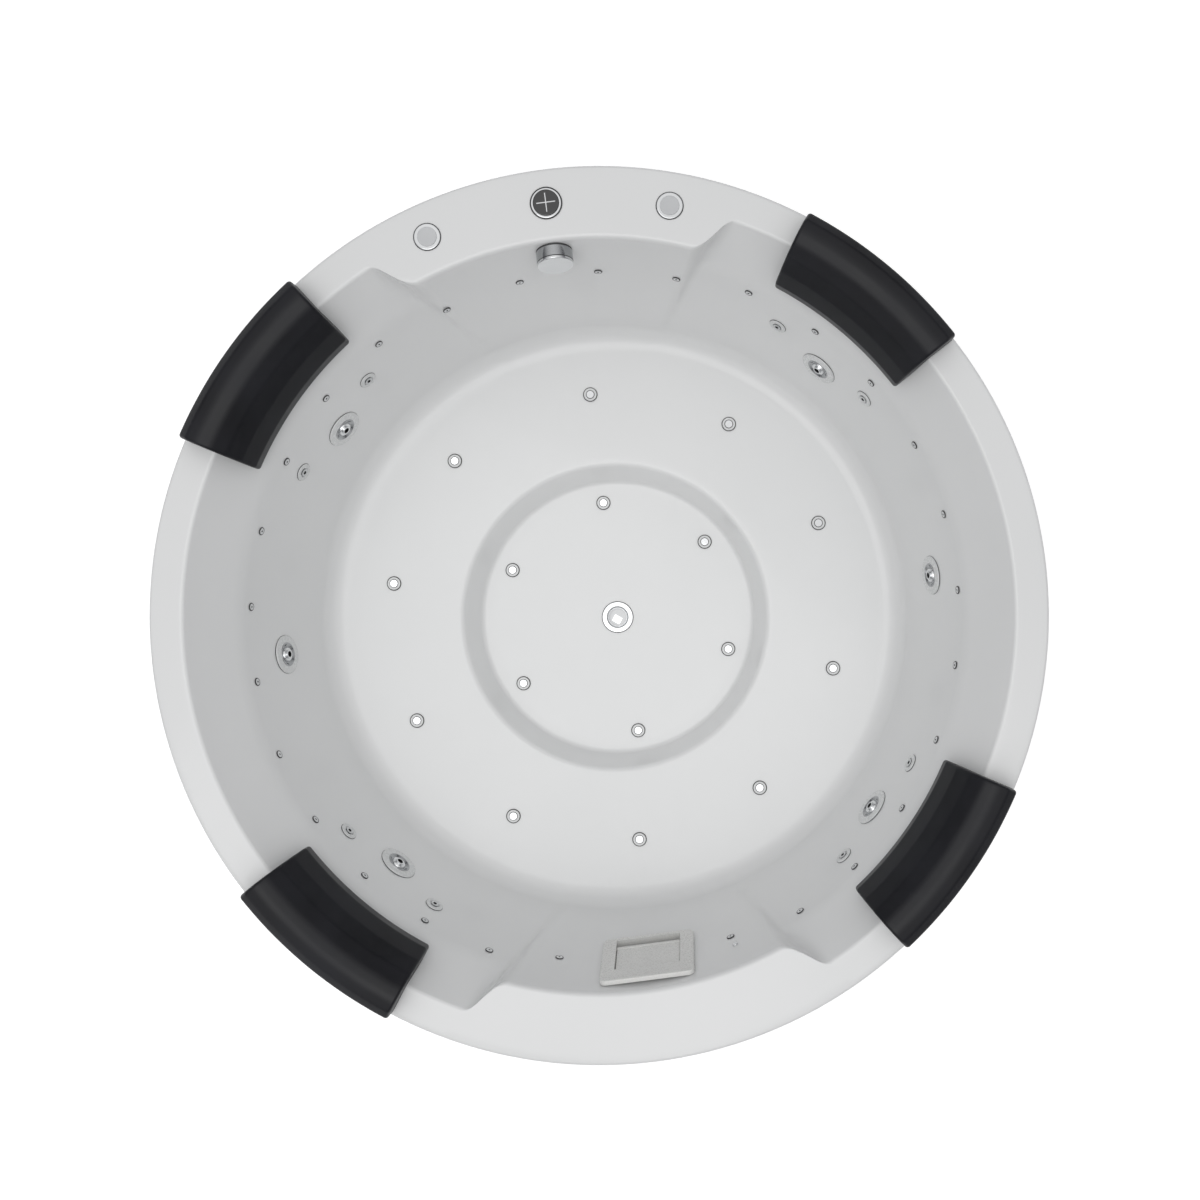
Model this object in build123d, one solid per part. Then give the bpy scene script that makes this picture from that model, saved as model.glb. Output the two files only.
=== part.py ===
from build123d import *

import os
from math import asin, atan2, cos, degrees, hypot, radians, sin

# Round six-jet hot tub with skirt, pillows, plumbing, pump and air blower.
# Millimetres, +Z up. The origin is on the floor, under the centre of the round rim.
# +Y points at the side that carries the buttons and the spout, -Y at the skimmer.

# Overall sizes
RIM_RADIUS = 900.0
RIM_HEIGHT = 700.0
SHELL_WALL = 8.0
RIM_LIP_DROP = 60.0
RIM_EDGE_ROUND = 7.0

# Bathing space: radii of the inner surface and depths below the rim
SEAT_LIP_RADIUS = 832.0
WIDE_LIP_RADIUS = 755.0
SHOULDER_RADIUS = 752.0
SHOULDER_DEPTH = 115.0
FLOOR_RADIUS = 656.0
FLOOR_DEPTH = 460.0
WELL_TOP_RADIUS = 350.0
WELL_FLOOR_RADIUS = 318.0
WELL_DEPTH = 540.0
LIP_ROUND = 12.0
SHOULDER_ROUND = 120.0
FLOOR_ROUND = 55.0
WELL_TOP_ROUND = 14.0
WELL_FLOOR_ROUND = 24.0

# The wide deck sections, at +Y and -Y, seen from above
WIDE_HALF_ANGLE_IN = 22.3
WIDE_HALF_ANGLE_OUT = 25.6

# Large jets
JET_ANGLES = (0.0, 42.5, 137.4, 179.4, 222.2, 316.7)
JET_DEPTH = 272.0
JET_FLANGE_RADIUS = 42.0
JET_FLANGE_THICK = 5.0
JET_BORE_RADIUS = 26.0
JET_BARREL_RADIUS = 29.0
JET_SEAT_DEPTH = 14.3
JET_CHAMBER_RADIUS = 20.0
JET_CHAMBER_DEPTH = 40.0
JET_TAIL_RADIUS = 20.0
JET_TAIL_LENGTH = 75.0
JET_TAIL_BORE = 8.0
RING_PROUD = 6.0
RING_DEPTH = 14.0
RING_DISH_RADIUS = 23.5
RING_DISH_FLOOR = 18.0
RING_DISH_DEPTH = 5.0
RING_EDGE_ROUND = 1.2
BALL_RADIUS = 18.0
BALL_DEPTH = 5.0
BALL_TRUNCATION = 11.0
NOZZLE_RADIUS = 9.5
NOZZLE_LENGTH = 14.0
NOZZLE_BORE = 6.5

# Back jets, two beside each pillow
BACK_JET_ANGLES = (33.0, 52.3, 128.1, 147.3, 212.4, 231.7, 307.3, 326.8)
BACK_JET_DEPTH = 222.0
BACK_JET_RADIUS = 19.2
BACK_JET_THICK = 3.5
BACK_JET_BARREL = 12.0
BACK_JET_LENGTH = 88.0
BACK_JET_BORE = 4.0
BACK_JET_NOZZLE = 8.5
BACK_JET_GROOVE = 2.5
BACK_JET_NOSE_PROUD = 1.5

# Side air jets, about one in each 29th of the wall except at the skimmer
AIR_JET_ANGLES = (
    9.4, 21.6, 33.9, 46.2, 58.7, 70.7, 83.8, 97.0, 110.0, 122.4, 134.7, 146.8, 158.8, 171.2,
    183.4, 195.7, 207.8, 219.9, 232.1, 243.6, 255.1, 284.1, 296.2, 307.6, 319.8, 332.2, 344.7, 356.9)
AIR_DEPTH = 150.0
AIR_FLANGE_RADIUS = 7.2
AIR_FLANGE_THICK = 2.5
AIR_STEM_RADIUS = 4.0
AIR_BORE = 2.0

# Floor air jets
FLOOR_JET_ANGLES = (17.5, 52.2, 89.1, 128.5, 164.1, 200.3, 235.6, 268.9, 302.9, 339.4)
FLOOR_JET_CIRCLE = 515.0
WELL_JET_ANGLES = (33.6, 89.8, 148.6, 207.8, 273.0, 336.6)
WELL_JET_CIRCLE = 271.0
FLOOR_JET_RADIUS = 15.2
FLOOR_JET_THICK = 2.5
FLOOR_JET_STEM = 9.0
FLOOR_JET_LENGTH = 38.0
FLOOR_JET_CAP = 8.5

# Drain
DRAIN_FLANGE_RADIUS = 36.0
DRAIN_FLANGE_THICK = 3.0
DRAIN_RECESS_RADIUS = 26.0
DRAIN_RECESS_DEPTH = 6.0
DRAIN_THROAT_RADIUS = 20.0
DRAIN_BARREL_RADIUS = 24.0
DRAIN_LENGTH = 20.0
DRAIN_SEAT_TAPER = 4.0
DRAIN_HUB_RADIUS = 9.0
DRAIN_SPIDER_HEIGHT = 8.0
DRAIN_ARM_WIDTH = 3.0
PLUG_RADIUS = 22.0
PLUG_DOME = 4.0
PLUG_STEM_RADIUS = 5.0
PLUG_LIFT = 10.0
PLUG_STEM_LENGTH = PLUG_LIFT + 19.0
PLUG_EDGE_GAP = 0.6
PLUG_DISC_THICK = 5.0
WASTE_RADIUS = 20.0
WASTE_BORE = 17.0
WASTE_SOCKET_RADIUS = 29.0
WASTE_AXIS_HEIGHT = 116.0
WASTE_RUN = 300.0
WASTE_ANGLE = 225.0
WASTE_END_HEIGHT = 18.0
WASTE_SPIGOT_LENGTH = 60.0
WASTE_COLLAR_RADIUS = 26.0
WASTE_COLLAR_TAPER = 6.0
WASTE_COLLAR_HEIGHT = 12.0
WASTE_SOCKET_WALL = 4.0

# Controls on the deck
CONTROL_CIRCLE = 830.0
CONTROL_ANGLE = 90.0
CONTROL_SPACING = 17.1
BUTTON_BEZEL_RADIUS = 27.0
BUTTON_CAP_RADIUS = 19.5
BUTTON_BARREL_RADIUS = 23.0
BUTTON_DEPTH = 24.0
BUTTON_CAP_PROUD = 5.0
BUTTON_CAP_LENGTH = 15.0
BUTTON_TRAVEL = 4.0
BEZEL_THICK = 3.0
BEZEL_ROUND = 2.4
KNOB_BEZEL_RADIUS = 31.0
KNOB_RADIUS = 26.5
KNOB_BARREL_RADIUS = 28.5
KNOB_PROUD = 6.0
KNOB_LENGTH = 12.0
KNOB_STEM_RADIUS = 6.0
KNOB_VALVE_LENGTH = 45.0
KNOB_RAY_SPAN = 38.0
KNOB_RAY_WIDTH = 1.8
KNOB_RAY_HEIGHT = 1.5

# Spout
SPOUT_DEPTH = 44.0
SPOUT_RADIUS = 37.0
SPOUT_LENGTH = 34.0
SPOUT_NECK_RADIUS = 30.0
SPOUT_NECK_LENGTH = 5.0
SPOUT_ROUND = 2.0
SPOUT_MOUTH_PLACE = 17.0
SPOUT_MOUTH_WIDTH = 44.0
SPOUT_MOUTH_HEIGHT = 11.0
SPOUT_GROOVE_PLACE = 26.5
SPOUT_GROOVE_WIDTH = 2.0
SPOUT_GROOVE_DEPTH = 1.5
INLET_RADIUS = 10.48
INLET_LENGTH = 60.0

# Skimmer
SKIMMER_DEPTH = 132.0
SKIMMER_WIDTH = 194.0
SKIMMER_HEIGHT = 206.0
SKIMMER_THICK = 10.0
SKIMMER_STAND_OFF = 7.0
SKIMMER_EDGE_ROUND = 3.0
SKIMMER_CORNER = 14.0
WINDOW_WIDTH = 136.0
WINDOW_HEIGHT = 142.0
WINDOW_OFFSET = -18.0
SKIMMER_BOX_DEPTH = 78.0
SKIMMER_BOX_WALL = 4.0
FLAP_THICK = 4.0
FLAP_GAP = 1.5
FLAP_HEIGHT = 96.0
FLAP_PIN_RADIUS = 3.0
FLAP_BARREL_RADIUS = 5.0
FLAP_RECESS = 9.0
FLAP_PIN_LIFT = 22.0
SENSOR_ANGLE = 284.6
SENSOR_DEPTH = 104.0
SENSOR_RADIUS = 6.0
SENSOR_STEM = 4.0
SENSOR_STEM_LENGTH = 24.0
SENSOR_PROUD = 4.0

# Pillows
PILLOW_ANGLES = (42.8, 137.4, 223.0, 317.8)
PILLOW_SPAN = 24.4
PILLOW_OUTER_RADIUS = 896.0
PILLOW_CROWN_RADIUS = 850.0
PILLOW_CROWN_HEIGHT = 66.0
PILLOW_INNER_RADIUS = 756.0
PILLOW_INNER_DROP = 34.0
PILLOW_THICK = 34.0
PILLOW_ROUND = 10.0
PILLOW_CLEARANCE = 0.4
PILLOW_STUD_CIRCLE = 868.0
PILLOW_STUD_OFFSET = 8.0
PILLOW_STUD_RADIUS = 5.0
PILLOW_STUD_HEIGHT = 20.0
PILLOW_STUD_SHANK = 4.0

# Skirt
SKIRT_RADIUS = 885.0
SKIRT_WALL = 4.0
SKIRT_FOOT = 10.0
SKIRT_TOP_GAP = 12.0
SKIRT_JOINT = 2.0
SKIRT_SCREW_ANGLES = (-38.0, -13.0, 13.0, 38.0)
PANEL_CENTRES = (0, 90, 180, 270)
SCREW_RADIUS = 3.0
SCREW_HEAD_RADIUS = 7.0
SCREW_HEAD_THICK = 3.0
SCREW_LENGTH = 26.0

# Steel frame and feet
FRAME_BASE = 60.0
TUBE_HEIGHT = 30.0
RING_WIDTH = 42.0
TUBE_WIDTH = 30.0
POST_WIDTH = 25.0
POST_COUNT = 8
INNER_POST_CIRCLE = 450.0
EQUIPMENT_BAR_OFFSET = 745.0
BOARD_THICK = 15.0
BOARD_MARGIN = 56.0
BOARD_WELL_GAP = 14.0
BOARD_JET_GAP = 6.0
FOOT_COUNT = 8
FOOT_OFFSET = 22.5
FOOT_RADIUS = 20.0
FOOT_PAD_HEIGHT = 12.0
STUD_RADIUS = 6.0
STUD_POCKET = 5.0
STUD_THREAD = 24.0
NUT_RADIUS = 11.0
NUT_HEIGHT = 10.0

# Pump, blower and control box
PUMP_RADIUS = 60.0
PUMP_CENTRE_HEIGHT = 160.0
VOLUTE_LENGTH = 60.0
VOLUTE_X = -150.0
VOLUTE_WALL = 6.0
IMPELLER_RADIUS = 46.0
IMPELLER_LENGTH = 18.0
VOLUTE_NECK = 12.0
SHAFT_RADIUS = 7.0
SHAFT_GRIP = 60.0
MOTOR_RADIUS = 52.0
MOTOR_LENGTH = 190.0
PUMP_FOOT_WIDTH = 70.0
BLOWER_ANGLE = 284.0
BLOWER_RADIUS = 54.0
BLOWER_HEIGHT = 150.0
BLOWER_WALL = 5.0
FAN_RADIUS = 42.0
FAN_HEIGHT = 30.0
FAN_SHAFT_RADIUS = 5.0
CONTROL_BOX_SIZE = (160.0, 90.0, 120.0)
CONTROL_BOX_X = -170.0
GLAND_RADIUS = 9.0
GLAND_LENGTH = 16.0

# Pipes
PIPE_RADIUS = 20.0
PIPE_BORE = 17.0
AIR_PIPE_RADIUS = 12.0
AIR_PIPE_CIRCLE = 790.0
AIR_PIPE_GAP_ANGLE = 9.0
WATER_PIPE_GAP_ANGLE = 20.0
SUCTION_HEIGHT = 300.0
SUCTION_TURN_X = -230.0
SUCTION_BEND = 60.0
SUCTION_STEPS = 8
SUCTION_LEG_INSET = 30.0
DOWN_PIPE_RADIUS = 9.0
STUB_START = 4.0
RISER_RADIUS = 16.0
RISER_RUN = 80.0
RISER_BEND = 40.0

# Fits
RUNNING = 0.08
CLEARANCE = 0.3
HOLE_CLEARANCE = 0.3
SEAT_GAP = 0.4
PIPE_GAP = 1.0

AXIS_TOP = RIM_HEIGHT + 20.0
FAR = 2000.0


def polar(radius, angle, height=0.0):
    """Point at a radius and angle about the tub's axis."""
    return Vector(radius * cos(radians(angle)), radius * sin(radians(angle)), height)


def wall_line(wide):
    """The straight stretch of wall that carries the jets: upper and lower (radius, depth)."""
    if wide:
        return (WIDE_LIP_RADIUS, 0.0), (FLOOR_RADIUS, FLOOR_DEPTH)
    return (SHOULDER_RADIUS, SHOULDER_DEPTH), (FLOOR_RADIUS, FLOOR_DEPTH)


def wall_plane(angle, depth, wide=False):
    """Plane on the inner wall: Z points into the bath, X runs along the wall, Y up it."""
    (upper_radius, upper_depth), (lower_radius, lower_depth) = wall_line(wide)
    run = upper_radius - lower_radius
    rise = lower_depth - upper_depth
    radius = lower_radius + run * (lower_depth - depth) / rise
    lean = atan2(run, rise)
    normal = polar(-cos(lean), angle) + Vector(0, 0, sin(lean))
    along = Vector(-sin(radians(angle)), cos(radians(angle)), 0) * -1
    return Plane(origin=polar(radius, angle, RIM_HEIGHT - depth), x_dir=along, z_dir=normal)


def in_wide_zone(angle):
    """True where the wall stands under a wide deck section."""
    from_axis = min(abs((angle - 90) % 360), abs((90 - angle) % 360))
    from_back = min(abs((angle - 270) % 360), abs((270 - angle) % 360))
    return min(from_axis, from_back) < WIDE_HALF_ANGLE_IN


def rod(radius, low, high):
    """Cylinder about Z between two heights."""
    return Pos(0, 0, (low + high) / 2) * Cylinder(radius, high - low)


def tube(outer, inner, low, high):
    """Hollow cylinder about Z between two heights."""
    return rod(outer, low, high) - rod(inner, low - 1, high + 1)


def ring_of_revolution(inner, outer, low, high, start=0.0, sweep=360.0):
    """Rectangular ring, or an arc of one."""
    section = Plane.XZ * Pos((inner + outer) / 2, (low + high) / 2) * Rectangle(outer - inner, high - low)
    return Rot(0, 0, start) * revolve(section, Axis.Z, sweep)


def pipe_ring(circle, radius, height, start, sweep):
    """Round pipe bent to an arc about the tub's axis."""
    section = Plane.XZ * Pos(circle, height) * Circle(radius)
    return Rot(0, 0, start) * revolve(section, Axis.Z, sweep)


def rod_between(first, second, radius):
    """Straight round rod from one point to another."""
    axis = Vector(second) - Vector(first)
    plane = Plane(origin=Vector(first), z_dir=axis)
    return plane * rod(radius, 0, axis.length)


def stand_off(radius):
    """How far a flat flange stands off the round wall so that its edge just meets it."""
    return radius ** 2 / (2 * FLOOR_RADIUS) + 0.1


def group(solids):
    """Several like pieces kept as separate solids of one node."""
    return Compound(children=[s for piece in solids for s in piece.solids()])


def bowl(lip_radius, shoulder, grow):
    """Solid of the bathing space, or with grow, of the outside of its shell."""
    outline = [(lip_radius + grow, 0.0)]
    rounds = []
    if not grow:
        outline = [(lip_radius + 40.0, 0.0), (lip_radius, 0.0)]
        rounds = [LIP_ROUND]
    if shoulder:
        outline.append((SHOULDER_RADIUS + grow, SHOULDER_DEPTH))
        rounds.append(SHOULDER_ROUND + grow)
    outline += [
        (FLOOR_RADIUS + grow, FLOOR_DEPTH + grow),
        (WELL_TOP_RADIUS + grow, FLOOR_DEPTH + grow),
        (WELL_FLOOR_RADIUS + grow, WELL_DEPTH + grow),
        (0.0, WELL_DEPTH + grow),
    ]
    rounds += [FLOOR_ROUND + grow, WELL_TOP_ROUND + (0 if grow else SHELL_WALL), WELL_FLOOR_ROUND + grow]
    points = [(radius, RIM_HEIGHT - depth) for radius, depth in outline]
    edge = FilletPolyline(*points, radius=rounds)
    if grow:
        close = Polyline(points[-1], (0, RIM_HEIGHT), points[0])
    else:
        close = Polyline(points[-1], (0, AXIS_TOP), (points[0][0], AXIS_TOP), points[0])
    return revolve(Plane.XZ * make_face(edge.edges() + close.edges()), Axis.Z, 360)


def wide_block(side, grow):
    """What fills the shoulder behind a wide deck section; side is +1 at +Y and -1 at -Y."""
    low = polar(WIDE_LIP_RADIUS, 90 - WIDE_HALF_ANGLE_IN)
    high = polar(SEAT_LIP_RADIUS, 90 - WIDE_HALF_ANGLE_OUT)
    along = (high - low).normalized()
    inside = low - along * 150
    outside = high + along * 150
    face = make_face(Polyline(
        (inside.X, inside.Y), (outside.X, outside.Y), (-outside.X, outside.Y), (-inside.X, inside.Y),
        close=True))
    if grow:
        face = offset(face, amount=-grow, kind=Kind.INTERSECTION)
    block = extrude(face, RIM_HEIGHT + FAR)
    return block if side > 0 else Rot(0, 0, 180) * block


def tub_form(grow):
    """The whole bathing space with both wide sections, or its outside."""
    seats = bowl(SEAT_LIP_RADIUS, True, grow) - wide_block(1, grow) - wide_block(-1, grow)
    return bowl(WIDE_LIP_RADIUS, False, grow) + seats


def deck_and_lip():
    """Flat rim with its turned-down outer edge."""
    section = make_face(Polyline(
        (400, RIM_HEIGHT - SHELL_WALL), (400, RIM_HEIGHT), (RIM_RADIUS, RIM_HEIGHT),
        (RIM_RADIUS, RIM_HEIGHT - RIM_LIP_DROP), (RIM_RADIUS - SHELL_WALL, RIM_HEIGHT - RIM_LIP_DROP),
        (RIM_RADIUS - SHELL_WALL, RIM_HEIGHT - SHELL_WALL), close=True))
    corner = section.vertices().filter_by(
        lambda v: abs(v.X - RIM_RADIUS) < 0.01 and abs(v.Y - RIM_HEIGHT) < 0.01)
    return revolve(Plane.XZ * fillet(corner, RIM_EDGE_ROUND), Axis.Z, 360)


def air_jet_places():
    """Angle and plane of each side air jet."""
    return [(angle, wall_plane(angle, AIR_DEPTH, in_wide_zone(angle))) for angle in AIR_JET_ANGLES]


def back_jet_planes():
    """Planes of the back jets, two beside each pillow."""
    return [wall_plane(angle, BACK_JET_DEPTH) for angle in BACK_JET_ANGLES]


def floor_jet_places():
    """Points of the air jets in the floor and in the foot well."""
    floor = [polar(FLOOR_JET_CIRCLE, angle, RIM_HEIGHT - FLOOR_DEPTH) for angle in FLOOR_JET_ANGLES]
    well = [polar(WELL_JET_CIRCLE, angle, RIM_HEIGHT - WELL_DEPTH) for angle in WELL_JET_ANGLES]
    return floor + well


def pillow_stud_places():
    """Points on the deck where the pillow studs stand."""
    return [
        polar(PILLOW_STUD_CIRCLE, angle + side * PILLOW_STUD_OFFSET, RIM_HEIGHT)
        for angle in PILLOW_ANGLES for side in (-1, 1)
    ]


JET_PLANES = [wall_plane(angle, JET_DEPTH) for angle in JET_ANGLES]
SPOUT_PLANE = wall_plane(CONTROL_ANGLE, SPOUT_DEPTH, True)
SKIMMER_PLANE = wall_plane(270, SKIMMER_DEPTH, True)
SENSOR_PLANE = wall_plane(SENSOR_ANGLE, SENSOR_DEPTH, True)
BUTTON_PLACES = [
    polar(CONTROL_CIRCLE, CONTROL_ANGLE + side * CONTROL_SPACING, RIM_HEIGHT) for side in (1, -1)
]
KNOB_PLACE = polar(CONTROL_CIRCLE, CONTROL_ANGLE, RIM_HEIGHT)
WELL_FLOOR_HEIGHT = RIM_HEIGHT - WELL_DEPTH
FRAME_TOP = FRAME_BASE + TUBE_HEIGHT
RING_OUTER = SKIRT_RADIUS - SKIRT_WALL - CLEARANCE
RING_INNER = RING_OUTER - RING_WIDTH
FOOT_CIRCLE = RING_OUTER - RING_WIDTH / 2


def tub_shell():
    """Acrylic shell in one piece, pierced for every fitting."""
    shell = deck_and_lip() + tub_form(SHELL_WALL) - tub_form(0)
    reach = 40
    holes = [plane * rod(JET_BARREL_RADIUS + HOLE_CLEARANCE, -reach, reach) for plane in JET_PLANES]
    holes += [plane * rod(BACK_JET_BARREL + HOLE_CLEARANCE, -reach, reach) for plane in back_jet_planes()]
    holes += [
        plane * rod(AIR_STEM_RADIUS + HOLE_CLEARANCE, -reach, reach) for _, plane in air_jet_places()
    ]
    holes += [
        Pos(place) * rod(FLOOR_JET_STEM + HOLE_CLEARANCE, -reach, reach) for place in floor_jet_places()
    ]
    holes += [
        Pos(place) * rod(BUTTON_BARREL_RADIUS + HOLE_CLEARANCE, -reach, reach) for place in BUTTON_PLACES
    ]
    holes += [
        Pos(place) * rod(PILLOW_STUD_SHANK + RUNNING, -reach, reach) for place in pillow_stud_places()
    ]
    holes += [
        Pos(KNOB_PLACE) * rod(KNOB_BARREL_RADIUS + HOLE_CLEARANCE, -reach, reach),
        Pos(0, 0, WELL_FLOOR_HEIGHT) * rod(DRAIN_BARREL_RADIUS + HOLE_CLEARANCE, -reach, reach),
        SPOUT_PLANE * rod(INLET_RADIUS + HOLE_CLEARANCE, -reach, reach),
        SENSOR_PLANE * rod(SENSOR_STEM + HOLE_CLEARANCE, -reach, reach),
        SKIMMER_PLANE * Pos(0, WINDOW_OFFSET, 0) * Box(
            WINDOW_WIDTH + 2 * (SKIMMER_BOX_WALL + HOLE_CLEARANCE),
            WINDOW_HEIGHT + 2 * (SKIMMER_BOX_WALL + HOLE_CLEARANCE), 2 * reach),
    ]
    return shell - holes


def jet_body():
    """Flange, seat and tail of a large jet; Z = 0 is the tub's inner wall."""
    back = stand_off(JET_FLANGE_RADIUS)
    flange = rod(JET_FLANGE_RADIUS, back, JET_FLANGE_THICK)
    flange = fillet(flange.faces().sort_by(Axis.Z)[-1].edges(), (JET_FLANGE_THICK - back) * 0.8)
    barrel = rod(JET_BARREL_RADIUS, -JET_CHAMBER_DEPTH, back)
    tail = rod(JET_TAIL_RADIUS, -JET_TAIL_LENGTH, -JET_CHAMBER_DEPTH)
    seat = rod(JET_BORE_RADIUS, -JET_SEAT_DEPTH, JET_FLANGE_THICK + 1)
    chamber = rod(JET_CHAMBER_RADIUS, -JET_CHAMBER_DEPTH + 6, 0)
    bore = rod(JET_TAIL_BORE, -JET_TAIL_LENGTH - 1, 0)
    return flange + barrel + tail - seat - chamber - bore


def jet_ring():
    """Turning bezel of a large jet, dished at the front, that holds the ball."""
    ring = rod(JET_BORE_RADIUS - RUNNING, -RING_DEPTH, RING_PROUD)
    ring = fillet(ring.faces().sort_by(Axis.Z)[-1].edges(), RING_EDGE_ROUND)
    slope = (RING_DISH_RADIUS - RING_DISH_FLOOR) / RING_DISH_DEPTH
    dish = Pos(0, 0, RING_PROUD - RING_DISH_DEPTH) * Cone(
        RING_DISH_FLOOR, RING_DISH_RADIUS + slope, RING_DISH_DEPTH + 1,
        align=(Align.CENTER, Align.CENTER, Align.MIN))
    socket = Pos(0, 0, -BALL_DEPTH) * Sphere(BALL_RADIUS + RUNNING)
    return ring - dish - socket


def jet_nozzle():
    """Ball with its short nozzle."""
    slab = rod(BALL_RADIUS + 1, -BALL_TRUNCATION, BALL_TRUNCATION)
    ball = Sphere(BALL_RADIUS) & slab
    nose = rod(NOZZLE_RADIUS, 0, NOZZLE_LENGTH)
    return Pos(0, 0, -BALL_DEPTH) * (ball + nose - rod(NOZZLE_BORE, -BALL_RADIUS, BALL_RADIUS))


def back_jet():
    """Small fixed jet beside a pillow."""
    flange = rod(BACK_JET_RADIUS, SEAT_GAP, BACK_JET_THICK)
    flange = fillet(flange.faces().sort_by(Axis.Z)[-1].edges(), 2.0)
    groove = tube(BACK_JET_NOZZLE + BACK_JET_GROOVE, BACK_JET_NOZZLE, BACK_JET_THICK - 2, BACK_JET_THICK + 1)
    barrel = rod(BACK_JET_BARREL, -BACK_JET_LENGTH, SEAT_GAP)
    nose = rod(BACK_JET_NOZZLE, 0, BACK_JET_THICK + BACK_JET_NOSE_PROUD)
    return flange - groove + barrel + nose - rod(BACK_JET_BORE, -BACK_JET_LENGTH - 1, BACK_JET_THICK + 2)


def air_jet(stem):
    """Side air jet with its stem, which reaches the air pipe."""
    flange = rod(AIR_FLANGE_RADIUS, SEAT_GAP / 2, AIR_FLANGE_THICK)
    flange = fillet(flange.faces().sort_by(Axis.Z)[-1].edges(), 1.2)
    return flange + rod(AIR_STEM_RADIUS, -stem, SEAT_GAP) - rod(AIR_BORE, -stem - 1, AIR_FLANGE_THICK + 1)


def floor_jet():
    """Air jet of the floor, with a raised cap in its flange."""
    flange = rod(FLOOR_JET_RADIUS, 0, FLOOR_JET_THICK)
    flange = fillet(flange.faces().sort_by(Axis.Z)[-1].edges(), 1.2)
    groove = tube(FLOOR_JET_CAP + 1.5, FLOOR_JET_CAP, FLOOR_JET_THICK - 1, FLOOR_JET_THICK + 1)
    cap = rod(FLOOR_JET_CAP, 0, FLOOR_JET_THICK + 1)
    return flange - groove + cap + rod(FLOOR_JET_STEM, -FLOOR_JET_LENGTH, 0)


def air_stem_length(angle):
    """Stem that ends at the side of the air pipe."""
    plane = wall_plane(angle, AIR_DEPTH, in_wide_zone(angle))
    radius = hypot(plane.origin.X, plane.origin.Y)
    lean = asin(plane.z_dir.Z)
    return (AIR_PIPE_CIRCLE - AIR_PIPE_RADIUS - PIPE_GAP - radius) / cos(lean)


def side_air_jets():
    """All side air jets, each a solid of its own."""
    return [plane * air_jet(air_stem_length(angle)) for angle, plane in air_jet_places()]


def pillow(angle):
    """Moulded head pillow that hooks over the deck's inner edge, on two blind sockets."""
    rim = RIM_HEIGHT
    slope = (SEAT_LIP_RADIUS - SHOULDER_RADIUS) / SHOULDER_DEPTH
    drop = PILLOW_INNER_DROP + PILLOW_THICK
    wall_at_drop = SEAT_LIP_RADIUS - slope * drop - PILLOW_CLEARANCE * 2
    top = ThreePointArc(
        (PILLOW_OUTER_RADIUS, rim + PILLOW_CROWN_HEIGHT * 0.72),
        (PILLOW_CROWN_RADIUS, rim + PILLOW_CROWN_HEIGHT),
        (PILLOW_CROWN_RADIUS - 50, rim + PILLOW_CROWN_HEIGHT * 0.55))
    front = Spline(
        top @ 1, (PILLOW_INNER_RADIUS, rim - PILLOW_INNER_DROP),
        tangents=[top % 1, (-0.35, -0.95)])
    rest = Polyline(
        front @ 1,
        (PILLOW_INNER_RADIUS, rim - drop),
        (wall_at_drop, rim - drop),
        (SEAT_LIP_RADIUS - PILLOW_CLEARANCE - 2, rim + PILLOW_CLEARANCE),
        (PILLOW_OUTER_RADIUS, rim + PILLOW_CLEARANCE),
        top @ 0)
    section = make_face(top.edges() + front.edges() + rest.edges())
    body = Rot(0, 0, angle - PILLOW_SPAN / 2) * revolve(Plane.XZ * section, Axis.Z, PILLOW_SPAN)
    body = fillet(body.edges(), PILLOW_ROUND * 0.6)
    sockets = [
        Pos(polar(PILLOW_STUD_CIRCLE, angle + side * PILLOW_STUD_OFFSET, rim))
        * rod(PILLOW_STUD_RADIUS + RUNNING, -5, PILLOW_STUD_HEIGHT + 1)
        for side in (-1, 1)
    ]
    return body - sockets


def pillow_stud():
    """Plastic stud screwed through the deck; a pillow pushes down over it."""
    head = rod(PILLOW_STUD_RADIUS, 0, PILLOW_STUD_HEIGHT)
    head = fillet(head.faces().sort_by(Axis.Z)[-1].edges(), 2.0)
    return head + rod(PILLOW_STUD_SHANK, -SHELL_WALL - 10, 0)


def button_bezel():
    """Chrome bezel and barrel of a push button; Z = 0 is the deck."""
    body = rod(BUTTON_BEZEL_RADIUS, 0, BEZEL_THICK) + rod(BUTTON_BARREL_RADIUS, -BUTTON_DEPTH, 0)
    body = fillet(body.faces().sort_by(Axis.Z)[-1].edges(), BEZEL_ROUND)
    floor = BUTTON_CAP_PROUD - BUTTON_CAP_LENGTH - BUTTON_TRAVEL - CLEARANCE
    return body - rod(BUTTON_CAP_RADIUS + RUNNING, floor, BEZEL_THICK + 1)


def button_cap():
    """Button cap with a shallow finger dish."""
    cap = rod(BUTTON_CAP_RADIUS, BUTTON_CAP_PROUD - BUTTON_CAP_LENGTH, BUTTON_CAP_PROUD)
    cap = fillet(cap.faces().sort_by(Axis.Z)[-1].edges(), 1.2)
    dish_radius = 220.0
    return cap - Pos(0, 0, BUTTON_CAP_PROUD + dish_radius - 0.6) * Sphere(dish_radius)


def air_control_bezel():
    """Bezel and valve body of the air control; the knob's stem turns in its hub."""
    body = rod(KNOB_BEZEL_RADIUS, 0, BEZEL_THICK) + rod(KNOB_BARREL_RADIUS, -KNOB_VALVE_LENGTH, 0)
    body = fillet(body.faces().sort_by(Axis.Z)[-1].edges(), BEZEL_ROUND)
    floor = KNOB_PROUD - KNOB_LENGTH - CLEARANCE
    stem_end = -KNOB_VALVE_LENGTH + 8
    return body - rod(KNOB_RADIUS + RUNNING, floor, BEZEL_THICK + 1) - rod(
        KNOB_STEM_RADIUS + RUNNING, stem_end, floor)


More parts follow.
